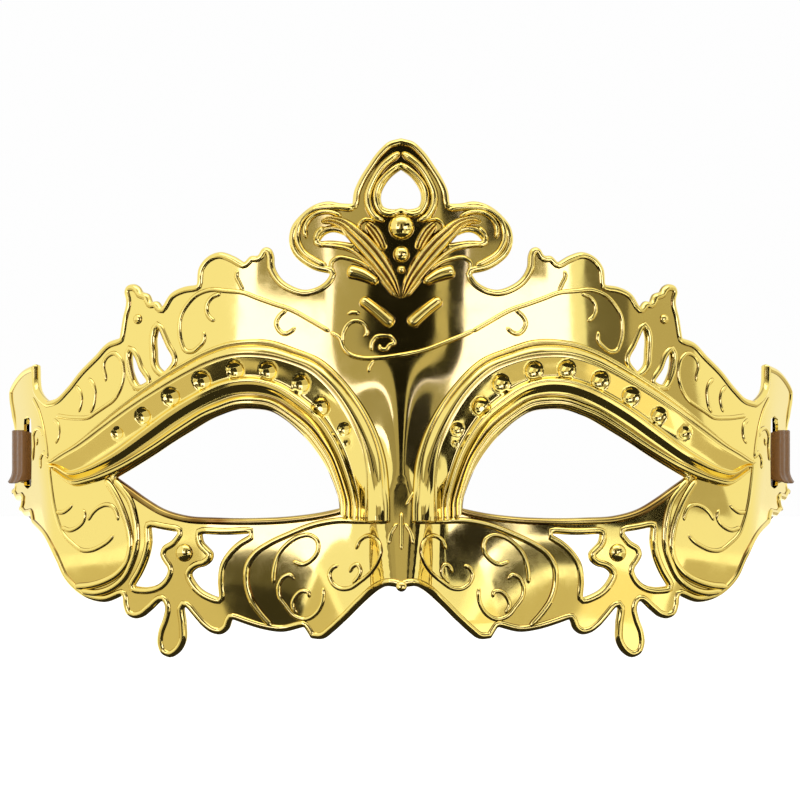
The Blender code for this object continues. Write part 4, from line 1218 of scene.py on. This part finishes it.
# %% Knot
def knot_sheets(side):
    """Three bands round one centre: circles in crossing planes, pleated across and pinched at each pole."""
    sheets = []
    turn = np.linspace(0, 2 * np.pi, 73)
    across = np.linspace(-1, 1, 25)
    for number, (tilt, swing, size) in enumerate(KNOT_BANDS):
        pleat = 0.085 * np.sin(across * 11 + number) + 0.05 * np.sin(across * 23 + 2 * number)
        radius = size * (0.90 + 0.07 * np.cos(across * np.pi / 2) + pleat)
        reach = 0.62 * (1 - 0.25 * np.cos(2 * turn + number)[:, None]) * across
        inset = radius * np.sqrt(1 - reach**2 * 0.8)
        ring = stacked(np.cos(turn)[:, None] * inset, np.sin(turn)[:, None] * inset, reach * radius)
        rotation = np.array(Matrix.Rotation(tilt, 3, "X") @ Matrix.Rotation(swing, 3, "Y"))
        local = ring.reshape(-1, 3) @ rotation.T * KNOT_SIZE + (KNOT_CENTRE[0], 0, KNOT_CENTRE[1])
        spread = stacked(across * RIBBON_WIDTH / 2, turn[:, None] * 3.5 + 30 * number)
        sheets.append((temple_places(side, local).reshape(ring.shape), spread))
    return sheets


print("knot:", len(knot_sheets(1)), "bands")


# %% Tail
def tail_sheet(side):
    """A straight run to the roll, then an Archimedean spiral inwards; its edges wander a little by turn."""
    start = np.array([KNOT_CENTRE[0], KNOT_CENTRE[1] - 4.55])
    middle = np.array(ROLL_CENTRE)
    outer = ROLL_RADIUS + 0.35
    reach = start - middle
    first = np.arctan2(reach[1], reach[0]) - np.arccos(outer / np.hypot(*reach))
    meet = middle + outer * np.array([np.cos(first), np.sin(first)])
    run = meet - start
    sense = np.sign((meet - middle)[0] * run[1] - (meet - middle)[1] * run[0])
    turns = (outer - ROLL_CORE) / ROLL_PITCH
    angle = np.linspace(0, 2 * np.pi * turns, int(turns * 44))
    radius = outer - ROLL_PITCH * angle / (2 * np.pi)
    angle = first + sense * angle
    spiral = middle + radius[:, None] * np.column_stack([np.cos(angle), np.sin(angle)])
    line = np.concatenate([start + np.linspace(0, 1, 14)[:-1, None] * run, spiral])
    length = np.concatenate([[0], np.cumsum(np.hypot(*np.diff(line, axis=0).T))])
    across = np.linspace(-1, 1, 9)
    wander = 0.16 * np.sin(length * 0.21 + side) + 0.10 * np.sin(length * 0.067)
    wander = wander * np.clip(length / 20, 0, 1)
    pinch = 1 - 0.35 * np.clip(1 - length / 5, 0, 1) ** 2
    grid = stacked(line[:, :1], wander[:, None] + across * RIBBON_WIDTH / 2 * pinch[:, None], line[:, 1:])
    spread = stacked(across * RIBBON_WIDTH / 2, length[:, None])
    return temple_places(side, grid.reshape(-1, 3)).reshape(grid.shape), spread


print("tail:", tail_sheet(1)[0].shape[:2], "places")

# %% Ribbons on both sides
for side, name in ((-1, "left"), (1, "right")):
    grid, spread = loop_sheet(side)
    loop_piece = cloth(name + "_satin_loop", [(grid, spread)], CLOTH, "mask")
    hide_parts(name + "_ribbon_loop")
    knot = knot_sheets(side)
    knot_piece = cloth(name + "_satin_knot", knot, CLOTH, "mask")
    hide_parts(name + "_ribbon_knot")
    tail, tail_spread = tail_sheet(side)
    tail_piece = cloth(name + "_satin_tail", [(tail, tail_spread)], ROLLED_CLOTH, name + "_ribbon_tail")
    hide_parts(name + "_ribbon_strap", name + "_ribbon_roll")
    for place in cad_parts[name + "_roll_tie"].material_slots:
        place.material = twist_wire
    areas = [cloth_area(grid), sum(cloth_area(band[0]) for band in knot), cloth_area(tail)]
    print(name, "ribbon, mm of loop, knot and tail:", np.round(np.divide(areas, RIBBON_WIDTH), 1))
